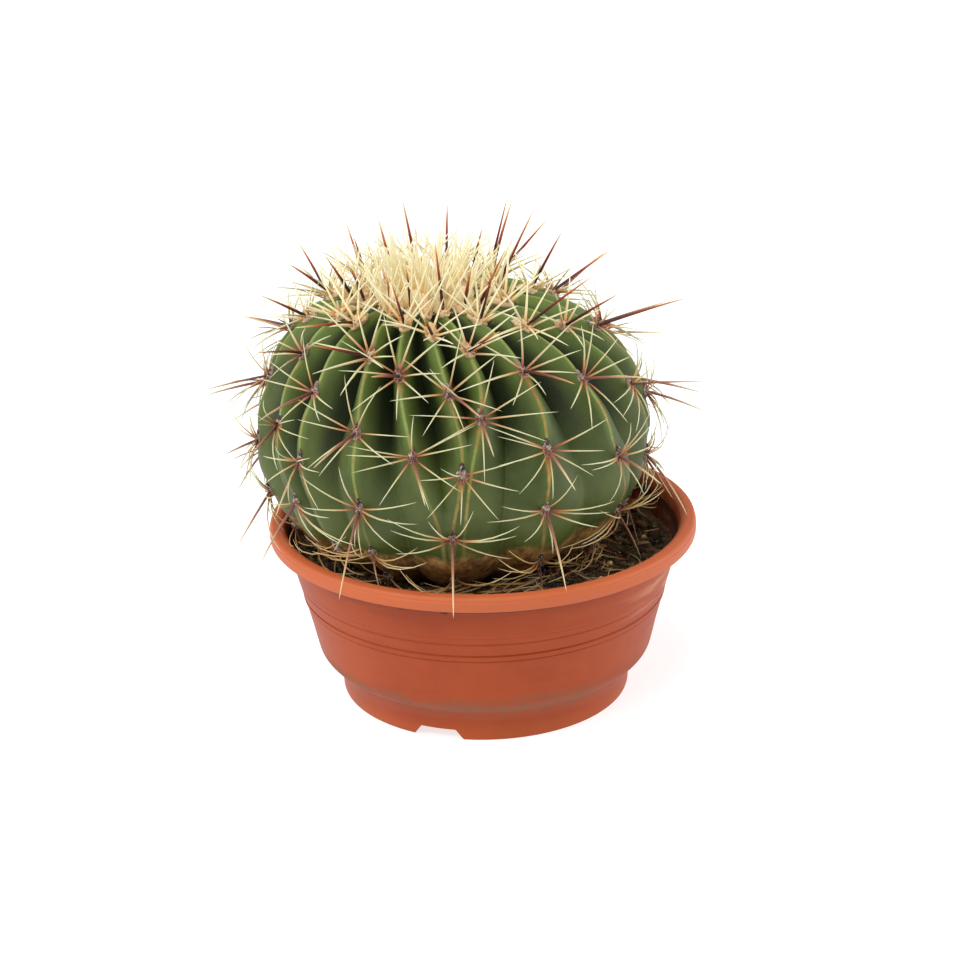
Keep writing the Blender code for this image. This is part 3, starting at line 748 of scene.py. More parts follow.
def layered(colour, *layers):
    """A colour under layers, each its share from 0 to 1 and its own colour."""
    for share, tint in layers:
        colour = mixed(share, colour, tint)
    return colour


def ramp(value, *stops):
    return value.node("ValToRGB", {"stops": stops}, {"Fac": value})


def bumped(height, distance):
    return height.node("Bump", {}, {"Height": height, "Distance": distance})


def pot_finish():
    """Matt terracotta-coloured plastic with a dusty shoulder, faint flow marks and scuffs, painted shadow
    under the lip and on the webs, a rim paler partly by painted light, and a painted sheen down the right
    side.
    """
    material, place = new_finish("terracotta plastic", ior=1.34)
    height, side = part_of(place, "Z"), part_of(place, "X")
    mottle = speckle(place, 26.0, 5.0)
    streaks = speckle(stretched(place, (14.0, 14.0, 150.0)), 1.0)
    grain = speckle(place, 1900.0, 2.0, 0.5)
    uneven = height + (speckle(place, 34.0) - 0.5) * 0.007
    shoulder = rising(uneven, 0.012, 0.020) * rising(uneven, 0.034, 0.024)
    dust = shoulder * rising(streaks * 0.6 + speckle(place, 110.0, 6.0, 0.7) * 0.4, 0.40, 0.58)
    under_lip = rising(height, LIP_BOTTOM + 0.0004, LIP_BOTTOM - 0.0002)
    specks = rising(speckle(place, 95.0, 2.0), 0.62, 0.65) * rising(height, 0.0838, 0.0850) * under_lip
    # Pale streaks down the bowl's right side: a painted sheen.
    right_sheen = rising(side, 0.080, 0.112) * rising(streaks, 0.50, 0.66)
    right_sheen = right_sheen * rising(height, 0.0560, 0.0640) * rising(height, 0.0890, 0.0840)
    scuffs = rising(speckle(place, 260.0, 6.0, 0.75), 0.66, 0.74) * rising(height, 0.088, 0.093)

    level = place.node("VectorMath", {"operation": "MULTIPLY"}, {0: place, 1: (1.0, 1.0, 0.0)})
    axis = level.node("VectorMath", {"operation": "DISTANCE"}, {0: level, 1: (POT_X, 0.0, 0.0)}, "Value")
    mid_wall = height * WALL_SLOPE + (between(OUTER_WALL, SOIL_TOP) - WALL / 2 - WALL_SLOPE * SOIL_TOP)
    inside = rising(axis - mid_wall, 0.0002, -0.0002) * rising(height, 0.0955, 0.0890)
    soiled = inside * rising(height, 0.0740, 0.0760) * rising(speckle(place, 90.0, 6.0, 0.7), 0.30, 0.55)
    # The webs' lower parts under the lip, which get painted shade.
    webs = rising(axis, 0.1056, 0.1062) * rising(axis, 0.1128, 0.1120)
    webs = webs * rising(height, LIP_BOTTOM + 0.0002, LIP_BOTTOM - 0.0003)

    colour = mixed(rising(mottle, 0.3, 0.7), (0.312, 0.041, 0.0042), (0.362, 0.053, 0.0064))
    colour = layered(
        colour,
        (rising(streaks, 0.52, 0.80) * 0.25, (0.40, 0.088, 0.026)),
        (rising(streaks, 0.46, 0.24) * 0.30, (0.205, 0.028, 0.006)),
        (dust * 0.75, (0.190, 0.090, 0.050)),
        (rising(height, 0.0120, 0.0020) * 0.35, (0.50, 0.110, 0.026)),
        # The rim is paler: partly its own faded plastic, partly painted light on its outer face, which
        # light from above leaves darker.
        (rising(height, 0.0890, 0.0900) * 0.75, (0.55, 0.133, 0.048)),
        (rising(height, 0.0932, 0.0950) * 0.55, (0.49, 0.112, 0.036)),
        # Painted shadow under the rim's lip: a soft band and a narrow dark one on the wall just below it,
        # inside as well.
        (rising(height, 0.0800, 0.0866) * under_lip * 0.30, (0.110, 0.015, 0.004)),
        (rising(height, 0.0846, 0.0862) * under_lip * 0.80, (0.060, 0.008, 0.003)),
        (specks, (0.035, 0.008, 0.006)),
        # Painted sheen on the right side.
        (right_sheen * 0.40, (0.66, 0.34, 0.20)),
        (scuffs * 0.4, (0.62, 0.25, 0.14)),
        (soiled * 0.80, (0.050, 0.016, 0.010)),
        # Painted shade on the webs under the lip.
        (webs * 0.75, (0.070, 0.020, 0.012)))
    rough = 0.42 + mottle * 0.12 + dust * 0.25 + grain * 0.06
    normal = bumped(grain * 0.6 + streaks * 0.4 + dust * 0.3, 0.00012)
    return finished(material, base_color=colour, roughness=rough, normal=normal)


def soil_finish():
    """Dark damp peat with fine fibres and pale dust."""
    material, place = new_finish("potting peat", ior=1.4)
    lumps = speckle(place, 210.0, 8.0, 0.75)
    fine = speckle(place, 900.0, 6.0, 0.7)
    moss = rising(speckle(place, 60.0, 4.0), 0.54, 0.62) * rising(fine, 0.42, 0.6)
    peat = ramp(lumps, (0.30, (0.014, 0.007, 0.003)), (0.46, (0.055, 0.028, 0.012)),
                (0.57, (0.130, 0.070, 0.030)), (0.72, (0.260, 0.150, 0.070)))
    colour = layered(peat, (rising(fine, 0.66, 0.74) * 0.5, (0.23, 0.16, 0.10)),
                     (moss * 0.75, (0.052, 0.070, 0.012)))
    return finished(material, base_color=colour, roughness=0.88 + fine * 0.1,
                    normal=bumped(lumps * 0.8 + fine * 0.5, 0.0022))


def crumb_finish():
    """Peat crumbs, bark, moss and a few pale grains, told apart by each crumb's own tone."""
    material, place = new_finish("crumbs", ior=1.4)
    tone, = marks(place, "tone")
    fine = speckle(place, 1500.0, 5.0, 0.7)
    kinds = ramp(tone, (0.00, (0.012, 0.018, 0.022)), (0.06, (0.016, 0.009, 0.005)),
                 (0.26, (0.060, 0.030, 0.013)), (0.50, (0.150, 0.080, 0.034)),
                 (0.68, (0.30, 0.165, 0.068)), (0.80, (0.055, 0.080, 0.014)),
                 (0.90, (0.12, 0.14, 0.030)), (1.00, (0.52, 0.42, 0.26)))
    colour = mixed(rising(fine, 0.45, 0.75) * 0.45, kinds, (0.012, 0.008, 0.005))
    return finished(material, base_color=colour, roughness=0.78 + fine * 0.2,
                    normal=bumped(fine, 0.0005))


def bead_finish():
    """Resin-coated feed beads, straw yellow with a soft gloss."""
    material, place = new_finish("feed beads", ior=1.5, coat_weight=0.15)
    cloud = speckle(place, 700.0, 4.0)
    colour = mixed(rising(cloud, 0.3, 0.7), (0.50, 0.37, 0.10), (0.74, 0.60, 0.24))
    return finished(material, base_color=colour, roughness=0.30 + cloud * 0.25,
                    normal=bumped(cloud, 0.0002))


def skin_finish():
    """Waxy green skin: valleys darkened with painted shade, painted light on the upper crests, pale crest
    lines, cork under the cushions and at the foot.
    """
    material, place = new_finish("cactus skin", ior=1.40)
    down, polar, off_crest, below = marks(place, "down", "polar", "off_crest", "below")
    side = part_of(place, "X")
    cloud = speckle(place, 22.0, 4.0)
    patches = speckle(place, 75.0, 5.0, 0.65)
    fine = speckle(place, 1400.0, 3.0, 0.6)
    wander = speckle(place, 160.0, 5.0, 0.7) - 0.5

    # Painted light on the crests of the ribs near the top.
    sunny = rising(polar, 66.0, 34.0) * rising(down, 0.75, 0.25)
    low_ribs = rising(polar, 58.0, 88.0) * rising(polar, 132.0, 112.0)
    sheen = low_ribs * rising(speckle(place, 30.0, 3.0), 0.35, 0.7)
    # Where the valleys get painted shade: the upper ribs, reaching further down on the left than on the
    # right.
    upper = rising(polar + rising(side, -0.055, 0.010) * 14.0, 104.0, 72.0)
    # Painted light close to the crests of the upper ribs.
    shoulder = rising(off_crest, 5.0, 0.5) * rising(polar, 102.0, 74.0)
    line = rising(off_crest + wander, 1.15, 0.35)
    line = line * rising(polar, 20.0, 30.0) * (0.25 + 0.60 * rising(polar, 96.0, 80.0))

    cork_width = 0.60 + 1.6 * rising(below, 22.0, 1.0) + 0.7 * rising(polar, 85.0, 112.0)
    cork = rising(off_crest + wander * 1.5, 0.30 + cork_width, cork_width * 0.55)
    cork = cork * rising(polar, 40.0, 60.0) * rising(speckle(place, 70.0, 5.0, 0.7), 0.40, 0.55)
    cork = cork * (0.35 + 0.65 * rising(polar, 108.0, 96.0)) * (0.55 + 0.45 * rising(side, 0.000, 0.030))
    cork_colour = ramp(patches, (0.35, (0.22, 0.095, 0.022)), (0.55, (0.40, 0.215, 0.055)),
                       (0.72, (0.56, 0.39, 0.14)))

    foot = rising(polar + (speckle(place, 50.0, 6.0, 0.75) - 0.5) * 20.0 - down * 2.0, 114.5, 120.0)
    fibres = speckle(stretched(place, (260.0, 260.0, 70.0)), 1.0, 6.0)
    bark = ramp(fibres * 0.6 + patches * 0.4, (0.34, (0.070, 0.030, 0.009)), (0.46, (0.22, 0.105, 0.028)),
                (0.56, (0.40, 0.215, 0.060)), (0.68, (0.52, 0.34, 0.13)))
    bark = mixed(rising(polar, 128.0, 140.0) * 0.55, bark, (0.055, 0.028, 0.012))

    colour = mixed(rising(cloud, 0.32, 0.68), (0.038, 0.058, 0.007), (0.071, 0.096, 0.014))
    colour = layered(
        colour,
        (rising(patches, 0.45, 0.75) * 0.25, (0.100, 0.124, 0.034)),
        # Painted light on the upper crests.
        (sunny * 0.75, (0.150, 0.212, 0.045)),
        (sheen * 0.13, (0.125, 0.165, 0.066)),
        # Pale stripes in the low valleys: painted sheen of reflected light, tinted like the skin's bloom.
        (low_ribs * rising(down, 0.90, 0.99) * 0.20, (0.150, 0.195, 0.080)),
        # Painted shade deep in the upper valleys.
        (rising(down, 0.14, 0.66) * upper * 0.90, (0.010, 0.016, 0.005)),
        # Painted light beside the upper crests.
        (shoulder * 0.58, (0.125, 0.188, 0.033)),
        (rising(fine, 0.60, 0.75) * 0.12, (0.12, 0.16, 0.06)),
        (line, (0.235, 0.315, 0.080)),
        (cork * 0.92, cork_colour),
        (foot, bark))
    rough = 0.46 + patches * 0.10 + cork * 0.30 + foot * 0.32 + fine * 0.05
    height = fine * 0.10 + patches * 0.35 + cork * 0.35 + foot * fibres * 1.2
    return finished(material, base_color=colour, roughness=rough, normal=bumped(height, 0.0007))


def felt_finish():
    """Felt of the spine cushions: cream wool at the crown, grey-tan and weathered further down."""
    material, place = new_finish("cushion felt", ior=1.35)
    age, tone = marks(place, "age", "tone")
    fluff = speckle(place, 1300.0, 5.0, 0.75)
    flecks = speckle(place, 950.0, 3.0)
    wool = mixed(tone, (0.88, 0.70, 0.42), (0.76, 0.47, 0.24))
    felt = mixed(tone, (0.42, 0.33, 0.27), (0.25, 0.170, 0.135))
    felt = mixed(rising(tone, 0.72, 0.92), felt, (0.045, 0.034, 0.034))
    colour = layered(wool, (rising(age, 0.10, 0.60), felt),
                     (rising(flecks, 0.50, 0.62) * (0.10 + age * 0.60), (0.105, 0.038, 0.030)),
                     (rising(flecks, 0.44, 0.34) * age * 0.85, (0.70, 0.61, 0.54)))
    return finished(material, base_color=colour, roughness=0.85 + fluff * 0.15,
                    normal=bumped(fluff, 0.0006))


def radial_finish():
    """Pale needles, rust red at the foot; straw brown once they are dry."""
    material, place = new_finish("pale spines", ior=1.4, emission_strength=0.12)
    along, age, dry, tone = marks(place, "along", "age", "dry", "tone")
    streak = speckle(place, 420.0, 4.0)
    slide = along + (tone - 0.5) * 0.14 - age * 0.02
    young = ramp(slide, (0.00, (0.60, 0.24, 0.07)), (0.09, (0.76, 0.50, 0.20)),
                 (0.26, (0.80, 0.70, 0.40)), (1.00, (0.86, 0.81, 0.56)))
    grown = ramp(slide, (0.00, (0.20, 0.050, 0.028)), (0.08, (0.36, 0.110, 0.046)),
                 (0.20, (0.50, 0.27, 0.110)), (0.40, (0.58, 0.53, 0.28)), (0.80, (0.66, 0.67, 0.43)),
                 (1.00, (0.60, 0.55, 0.36)))
    straw = ramp(along, (0.00, (0.16, 0.060, 0.018)), (0.30, (0.40, 0.210, 0.060)),
                 (1.00, (0.62, 0.43, 0.17)))
    colour = layered(young, (rising(age, 0.0, 0.5), grown),
                     (rising(tone, 0.45, 1.0) * age * 0.35, (0.36, 0.25, 0.10)),
                     (dry * (0.55 + tone * 0.4), straw),
                     (rising(streak, 0.50, 0.80) * 0.25, (0.46, 0.30, 0.12)))
    # The young needles glow faintly in their own colour: painted light that brightens them, gone in old
    # and dry ones.
    glow = mixed(rising(age, 0.0, 0.6) * 0.8, colour, (0.0, 0.0, 0.0))
    return finished(material, base_color=colour, roughness=0.42 + streak * 0.2,
                    normal=bumped(streak, 0.0003), emission_color=glow)


def central_finish():
    """Stout needles: black-red, red and amber to a pale tip, with faint rings; older ones fade."""
    material, place = new_finish("stout spines", ior=1.4)
    along, age, tone = marks(place, "along", "age", "tone")
    rings = place.node("Math", {"operation": "SINE"}, {0: along * 190.0})
    streak = speckle(place, 500.0, 4.0)
    slide = along + (tone - 0.5) * 0.22
    young = ramp(slide, (0.00, (0.030, 0.008, 0.009)), (0.28, (0.070, 0.010, 0.007)),
                 (0.52, (0.26, 0.030, 0.010)), (0.74, (0.52, 0.16, 0.035)), (0.90, (0.78, 0.52, 0.20)),
                 (1.00, (0.88, 0.74, 0.44)))
    grown = ramp(slide, (0.00, (0.12, 0.045, 0.040)), (0.20, (0.22, 0.080, 0.060)),
                 (0.44, (0.38, 0.165, 0.095)), (0.66, (0.60, 0.42, 0.22)), (1.00, (0.76, 0.68, 0.42)))
    colour = layered(young, (rising(age, 0.25, 0.95), grown),
                     (rising(streak, 0.55, 0.8) * 0.25, (0.33, 0.14, 0.06)))
    return finished(material, base_color=colour, roughness=0.40 + streak * 0.2,
                    normal=bumped(rings * 0.5 + streak, 0.00025))


def floor_finish():
    """Pale paper with a faint cloud."""
    material, place = new_finish("studio paper", ior=1.4, emission_strength=0.72,
                                 emission_color=(1.0, 1.0, 1.0))
    cloud = speckle(place, 1.5, 2.0)
    colour = mixed(cloud, (0.44, 0.44, 0.44), (0.48, 0.48, 0.48))
    return finished(material, base_color=colour, roughness=0.80 + cloud * 0.1)


# ---------------- bowl

def wall_radius(height):
    groove = sum(depth * math.exp(-((height - place) / GROOVE_WIDTH) ** 2) for place, depth in GROOVES)
    (top, _depth), (bottom, _depth) = GROOVES[2:]
    band = smooth((height - bottom) / BAND_EDGE) * smooth((top - height) / BAND_EDGE)
    return between(OUTER_WALL, height) - groove + band * BAND_PROUD


def wall_heights():
    """Heights down the outside of the wall, close together at the grooves and the shoulder."""
    plain = [first - step * ring for first, step, count in WALL_RINGS for ring in range(count)]
    at_grooves = [place + GROOVE_STEP * ring for place, _depth in GROOVES for ring in range(-5, 6)]
    heights = sorted([*plain, *at_grooves, *FOOT_RINGS], reverse=True)
    kept = [heights[0]]
    for height in heights[1:]:
        if kept[-1] - height > CLOSEST_RINGS:
            kept.append(height)
    return kept


def arc(centre, radius, start, end, steps):
    angles = [radians(start + (end - start) * step / steps) for step in range(steps + 1)]
    return [(centre[0] + radius * math.cos(a), centre[1] + radius * math.sin(a)) for a in angles]


def bowl_profile():
    """The bowl's section, from the middle of its floor over the rim and back under the foot."""
    roll_at = (RIM_RADIUS - ROLL, RIM_TOP - ROLL)
    inner = [(between(OUTER_WALL, height) - WALL, height)
             for height in [FLOOR_TOP + WALL + INNER_STEP * ring for ring in range(INNER_RINGS)]]
    profile = [(HUB, FLOOR_TOP), (FLOOR_RING, FLOOR_TOP), (FOOT_INNER - FLOOR_EDGE, FLOOR_TOP)]
    profile += inner + arc(roll_at, ROLL, 180, 90, 8)
    profile += arc((RIM_RADIUS - RIM_CORNER_IN, RIM_TOP - RIM_CORNER_IN), RIM_CORNER, 90, 10, 7)
    profile += [(RIM_RADIUS - inset, RIM_TOP - down) for inset, down in RIM_BAND]
    profile += [(RIM_RADIUS - inset, LIP_BOTTOM + up) for inset, up in LIP_EDGE]
    profile += arc(roll_at, ROLL - WALL, 0, 180, 8)
    profile += [(wall_radius(height), height) for height in wall_heights()]
    profile += arc(FOOT_EDGE, FOOT_EDGE[1], 0, -90, 3) + [(FOOT_INNER, 0.0)]
    profile += [(FOOT_INNER + 0.0006, FLOOR_UNDER), (FLOOR_RING, FLOOR_UNDER), (HUB, FLOOR_UNDER)]
    return profile


def make_gussets():
    """Thin webs between the wall and the rim's lip, lowest where they meet the wall."""
    outer = RIM_RADIUS - WALL / 2
    low, high = LIP_BOTTOM + GUSSET_LOW, RIM_TOP - GUSSET_HIGH
    front, middle = -(GUSSET_INNER + outer) / 2, (low + high) / 2
    bpy.ops.mesh.primitive_cube_add(size=1.0, location=(POT_X, front, middle),
                                    scale=(GUSSET_THICKNESS, outer - GUSSET_INNER, high - low))
    web = placed(added("gusset"))
    moved(web, lambda corner: corner.y > front and corner.z < middle, (0.0, 0.0, -GUSSET_DROP))
    moved(web, lambda corner: corner.y > front and corner.z > middle, (0.0, -GUSSET_LEAN, 0.0))
    applied(web, "BEVEL", width=0.0002, segments=2)
    return ring_of(web, GUSSETS, GUSSET_AZIMUTH, "gussets")


def make_notches():
    """Blocks with sloping ends that cut the foot's water notches."""
    at = (POT_X, -(FOOT_INNER + NOTCH_SPARE), (NOTCH_TOP - NOTCH_SPARE) / 2)
    bpy.ops.mesh.primitive_cube_add(size=1.0, location=at,
                                    scale=(NOTCH_FOOT, NOTCH_DEPTH, NOTCH_TOP + NOTCH_SPARE))
    block = placed(added("notch"))
    pick(block, lambda corner: corner.z > NOTCH_TOP / 2)
    bpy.ops.transform.resize(value=(NOTCH_HEAD / NOTCH_FOOT, 1.0, 1.0), center_override=(POT_X, 0.0, 0.0))
    bpy.ops.object.mode_set(mode="OBJECT")
    return ring_of(block, NOTCHES, NOTCH_AZIMUTH, "notches")


def make_bowl():
    """The turned bowl with its gussets joined on and its water notches cut."""
    bowl = turned("bowl_pot", bowl_profile(), POT_SIDES, (POT_X, 0.0))
    cut_or_joined(bowl, make_gussets(), "UNION")
    cut_or_joined(bowl, make_notches(), "DIFFERENCE")
    bowl.data.materials.append(pot_finish())
    return shaded(bowl, 30.0)


# ---------------- soil

def soil_height(x, y):
    """The soil's level: full at the left and front, sunk a little on the bowl's open side."""
    open_side = smooth((x - POT_X - OPEN_SIDE[0]) / OPEN_SIDE[1])
    lumps = noise.noise(Vector((x, y, 0.0)) / SOIL_LUMPS[0]) * SOIL_LUMPS[1]
    crumbs = noise.noise(Vector((x, y, 3.0)) / SOIL_CRUMBS[0]) * SOIL_CRUMBS[1]
    return SOIL_TOP - SOIL_FALL * open_side + lumps + crumbs


def make_soil():
    """The filling: uneven on top, with a hollow that the ball stands in."""
    wall = between(OUTER_WALL, SOIL_TOP) - WALL - SOIL_GAP
    steps, under = int(wall / SOIL_RING), FLOOR_TOP + SOIL_GAP_UNDER
    first, rise, rings = SOIL_SIDE
    profile = [(HUB, under), (FOOT_INNER - 2 * FLOOR_EDGE, under)]
    profile += [(between(OUTER_WALL, height) - WALL - SOIL_GAP, height)
                for height in [first + rise * ring for ring in range(rings)]]
    profile += [(wall - SOIL_RING * step, SOIL_TOP) for step in range(steps)] + [(HUB, SOIL_TOP)]
    soil = turned("soil_bed", profile, SOIL_SIDES, (POT_X, 0.0))
    for vertex in soil.data.vertices:
        if vertex.co.z > SOIL_TOP - 0.0001:
            vertex.co.z = soil_height(vertex.co.x, vertex.co.y)
    wide, high = BODY_RADIUS * HOLLOW, BODY_HALF_HEIGHT * HOLLOW
    hollow = round_solid("hollow", 96, 48, (0.0, 0.0, BODY_Z), (wide, wide, high))
    cut_or_joined(soil, hollow, "DIFFERENCE")
    soil.data.materials.append(soil_finish())
    return shaded(soil, 50.0)


def ground_places(count, draw, inner=CLEAR_OF_BALL, outer=REACH):
    """Places on the soil between the ball and the wall."""
    left, right, front, back = GROUND_BOX
    found = []
    while len(found) < count:
        x, y = draw.uniform(left, right), draw.uniform(front, back)
        if math.hypot(x, y) > inner and math.hypot(x - POT_X, y) < outer:
            found.append(Vector((x, y, soil_height(x, y))))
    return found


def lump(points, draw, at, size, flatness=1.0):
    """A copy of a round pattern as an uneven lump, turned at random."""
    turn = Matrix.Rotation(draw.uniform(0, math.tau), 3, Vector([draw.uniform(-1, 1) for _ in range(3)]))
    stretch = np.array([draw.uniform(0.7, 1.3), draw.uniform(0.6, 1.1), draw.uniform(0.5, 0.9)])
    uneven = 1.0 + np.array([[draw.uniform(-0.18, 0.18)] for _ in range(len(points))])
    shape = (points * uneven * stretch * size) @ np.array(turn)
    shape[:, 2] *= flatness
    return shape + np.array(at)


def make_crumbs():
    """Fine crumbs all over the soil."""
    points, faces = round_pattern(1)
    draw = random.Random(SEED + 3)
    copies = []
    for place in ground_places(CRUMBS, draw):
        size = draw.uniform(*CRUMB_SIZES)
        copies.append((lump(points, draw, place, size), {"tone": draw.random() ** 1.3 * 0.97}))
    return repeated("soil_crumbs", faces, copies, crumb_finish())


def make_clods():
    """Larger clods of peat and moss, and flat chips of bark."""
    points, faces = round_pattern(2)
    draw = random.Random(SEED + 13)
    copies = []
    for count, inner, stretch, smallest, largest, power, flatness, tones in CLOD_KINDS:
        for place in ground_places(count, draw, inner):
            size = smallest + (largest - smallest) * draw.random() ** power
            copies.append((lump(points * stretch, draw, place, size, flatness),
                           {"tone": draw.uniform(*tones)}))
    return repeated("soil_clods", faces, copies, crumb_finish(), 40.0)


def make_beads():
    """Round beads of plant feed, half sunk."""
    points, faces = pattern_of(round_solid("bead", 14, 9))
    draw = random.Random(SEED + 4)
    copies = []
    for place in ground_places(BEADS, draw, inner=BEADS_CLEAR):
        size = draw.uniform(*BEAD_SIZES)
        copies.append((points * size + np.array(place) + np.array((0, 0, size * 0.5)), {"tone": 0.5}))
    return repeated("feed_beads", faces, copies, bead_finish())


def make_litter():
    """Fallen needles and straw that lie on the soil, most of them close under the ball."""
    points, faces = needle_pattern(5, NEEDLE_SHAPE)
    draw = random.Random(SEED + 12)
    copies = []

    def lay(foot, way, over, lengths, most_bend, reach):
        shape = bent(points, foot, way, over, draw.uniform(*lengths), draw.uniform(*LITTER_RADII),
                     draw.uniform(0.1, most_bend))
        if np.hypot(shape[:, 0] - POT_X, shape[:, 1]).max() < reach:
            copies.append(needle_copy(points, shape, draw, 1.0, 1.0))

    for place in ground_places(FALLEN, draw, *FALLEN_RING):
        around, lift = draw.uniform(0, math.tau), radians(draw.uniform(-3.0, 16.0))
        level = Vector((math.cos(around), math.sin(around), 0.0))
        way = level * math.cos(lift) + UP * math.sin(lift)
        foot = place + UP * draw.uniform(0.0004, 0.0024)
        lay(foot, way, level.cross(UP), FALLEN_LENGTHS, 1.2, FALLEN_REACH)
    for _straw in range(STRAWS):
        azimuth = radians(draw.uniform(*STRAW_AZIMUTHS))
        foot = across_of(azimuth) * draw.uniform(*STRAW_RING)
        foot.z = soil_height(foot.x, foot.y) + draw.uniform(0.0005, 0.0050)
        along = azimuth + radians(draw.uniform(-28.0, 28.0)) + draw.choice((0.0, math.pi))
        way = Vector((math.cos(along), math.sin(along), draw.uniform(-0.06, 0.16))).normalized()
        over = way.cross(UP).normalized()
        inwards = -over if over.dot(foot) > 0.0 else over
        lay(foot, way, inwards, STRAW_LENGTHS, 0.7, STRAW_REACH)
    return repeated("dry_litter", faces, copies, radial_finish())


# ---------------- ball

def valley_share(part, power):
    """How far down into the valley a point lies, from 0 on a rounded crest to 1."""
    down = 1.0 - abs(2.0 * part - 1.0)
    full = math.hypot(1.0, CREST_ROUND) - CREST_ROUND
    return ((math.hypot(down, CREST_ROUND) - CREST_ROUND) / full) ** power


def last_cushion_above(rib, polar):
    """Distance in mm down the crest from the nearest cushion above."""
    above = [cushion[0] for cushion in rib[1] if cushion[0] <= polar]
    return radians(polar - max(above)) * CREST_MM if above else FAR_MM


def make_ball(ribs):
    """The ribbed ball: a round one whose every corner is set on the plant's own skin."""
    columns = len(ribs) * COLUMNS_PER_RIB
    ball = round_solid("ribbed_ball", columns, BODY_RINGS + 1)
    rings = []
    for ring in range(BODY_RINGS + 2):
        polar = min(BODY_END, BODY_END * ring / BODY_RINGS)
        crests = [crest(rib, polar) for rib in ribs]
        crests.append(crests[0] + 360.0)
        swells = [swell(rib, polar) for rib in ribs]
        belows = [last_cushion_above(rib, polar) for rib in ribs]
        rings.append((polar, crests, swells + swells[:1], belows + belows[:1],
                      between(VALLEYS, polar), between(VALLEYS, polar, 2)))
    bottom = skin(0.0, BODY_END).z
    values = {name: [] for name in ("down", "polar", "off_crest", "below")}
    for vertex in ball.data.vertices:
        flat = math.hypot(vertex.co.x, vertex.co.y)
        ring = round(math.atan2(flat, vertex.co.z) / math.pi * (BODY_RINGS + 1))
        polar, crests, swells, belows, depth, power = rings[ring]
        column = round(math.atan2(vertex.co.x, -vertex.co.y) / math.tau * columns) % columns
        index, step = divmod(column, COLUMNS_PER_RIB)
        here, there = crests[index], crests[index + 1]
        part = step / COLUMNS_PER_RIB
        share = valley_share(part, power)
        opened = smooth((there - here - FORK_CLOSED) / (FORK_OPEN - FORK_CLOSED))
        proud = (swells[index] * (1 - part) + swells[index + 1] * part) * (1.0 - share) ** 2
        point = skin(here + (there - here) * part, polar, depth * opened * share - proud)
        if 0 < ring <= BODY_RINGS:
            level = Vector((point.x, point.y, 0.0)).normalized()
            point += level * noise.noise(point / RIPPLE_WIDTH) * SKIN_RIPPLE
        if ring >= BODY_RINGS:
            point.z = bottom
        if ring == BODY_RINGS + 1:
            point.x = point.y = 0.0
        if ring == 0:
            point = skin(0.0, 0.0)
        vertex.co = point
        near = min(part, 1.0 - part) * radians(there - here) * BODY_RADIUS * math.sin(radians(polar))
        values["down"].append(share * opened)
        values["polar"].append(polar)
        values["off_crest"].append(near * 1000.0)
        values["below"].append(belows[index] if part < 0.5 else belows[index + 1])
    for name, row in values.items():
        stored(ball.data, name, row)
    only(ball)
    bpy.ops.object.mode_set(mode="EDIT")
    bpy.ops.mesh.select_all(action="SELECT")
    bpy.ops.mesh.normals_make_consistent(inside=False)
    bpy.ops.object.mode_set(mode="OBJECT")
    ball.data.materials.append(skin_finish())
    return shaded(ball, 60.0)


# ---------------- cushions and spines

def fuzz(points, draw, at, frame, size, length, count, values):
    """Short fine hairs that stand on a cushion, each with the cushion's attribute values."""
    out, up, across = frame
    hairs = []
    for _hair in range(count):
        around, lean = draw.uniform(0, math.tau), draw.uniform(0.1, 1.0)
        aside = across * math.cos(around) + up * math.sin(around)
        foot = at + across * (math.cos(around) * lean * size[0]) + up * (math.sin(around) * lean * size[1])
        foot += out * (size[2] * math.sqrt(max(0.0, 1.0 - lean * lean)) * 0.8)
        way = (out + aside * lean * draw.uniform(0.5, 1.6)).normalized()
        side = way.orthogonal().normalized()
        hair = bent(points, foot, way, side, length * draw.uniform(0.6, 1.1), HAIR_RADIUS,
                    draw.uniform(0.1, 0.9))
        hairs.append((hair, {**values, "tone": draw.random()}))
    return hairs


def cushion_size(age):
    """Half width, half height and depth of a cushion's felt."""
    part = smooth(age * 1.6)
    return [young + (old - young) * part for young, old in zip(YOUNG_FELT, GROWN_FELT)]


def felt_lump(points, draw, at, stand):
    """A copy of a round pattern as an uneven pad, its axes given as directions with a length."""
    shift = Vector((draw.uniform(0, 9), draw.uniform(0, 9), draw.uniform(0, 9)))
    uneven = np.array([[1.0 + 0.30 * noise.noise(Vector(point) * 1.9 + shift)
                        + 0.16 * noise.noise(Vector(point) * 5.0 + shift)] for point in points])
    return (points * uneven) @ np.array(stand) + np.array(at)


def make_felt(cushions):
    """Oval felt pads under every star of spines, and the dry flower scar above each older one."""
    points, faces = round_pattern(3)
    draw = random.Random(SEED + 5)
    copies = []
    for cushion in cushions:
        seat, out, up, across = cushion["frame"]
        age = cushion["age"]
        wide, high, deep = cushion_size(age)
        at = seat + up * (YOUNG_FELT_UP * (1.0 - smooth(age * 1.6)))
        copies.append((felt_lump(points, draw, at, (across * wide, up * high, out * deep)),
                       {"age": age, "tone": draw.uniform(0.1, 0.6)}))
        if age > SCAR_FROM:
            grow = draw.uniform(0.75, 1.2)
            at = seat + up * (high + SCAR_GAP)
            stand = (across * SCAR[0] * grow, up * SCAR[1] * grow, out * SCAR[2])
            tone = draw.uniform(0.2, 0.7) if cushion["polar"] < 70 else draw.uniform(0.80, 1.0)
            copies.append((felt_lump(points, draw, at, stand), {"age": age, "tone": tone}))
    return repeated("cushion_felt", faces, copies, felt_finish())


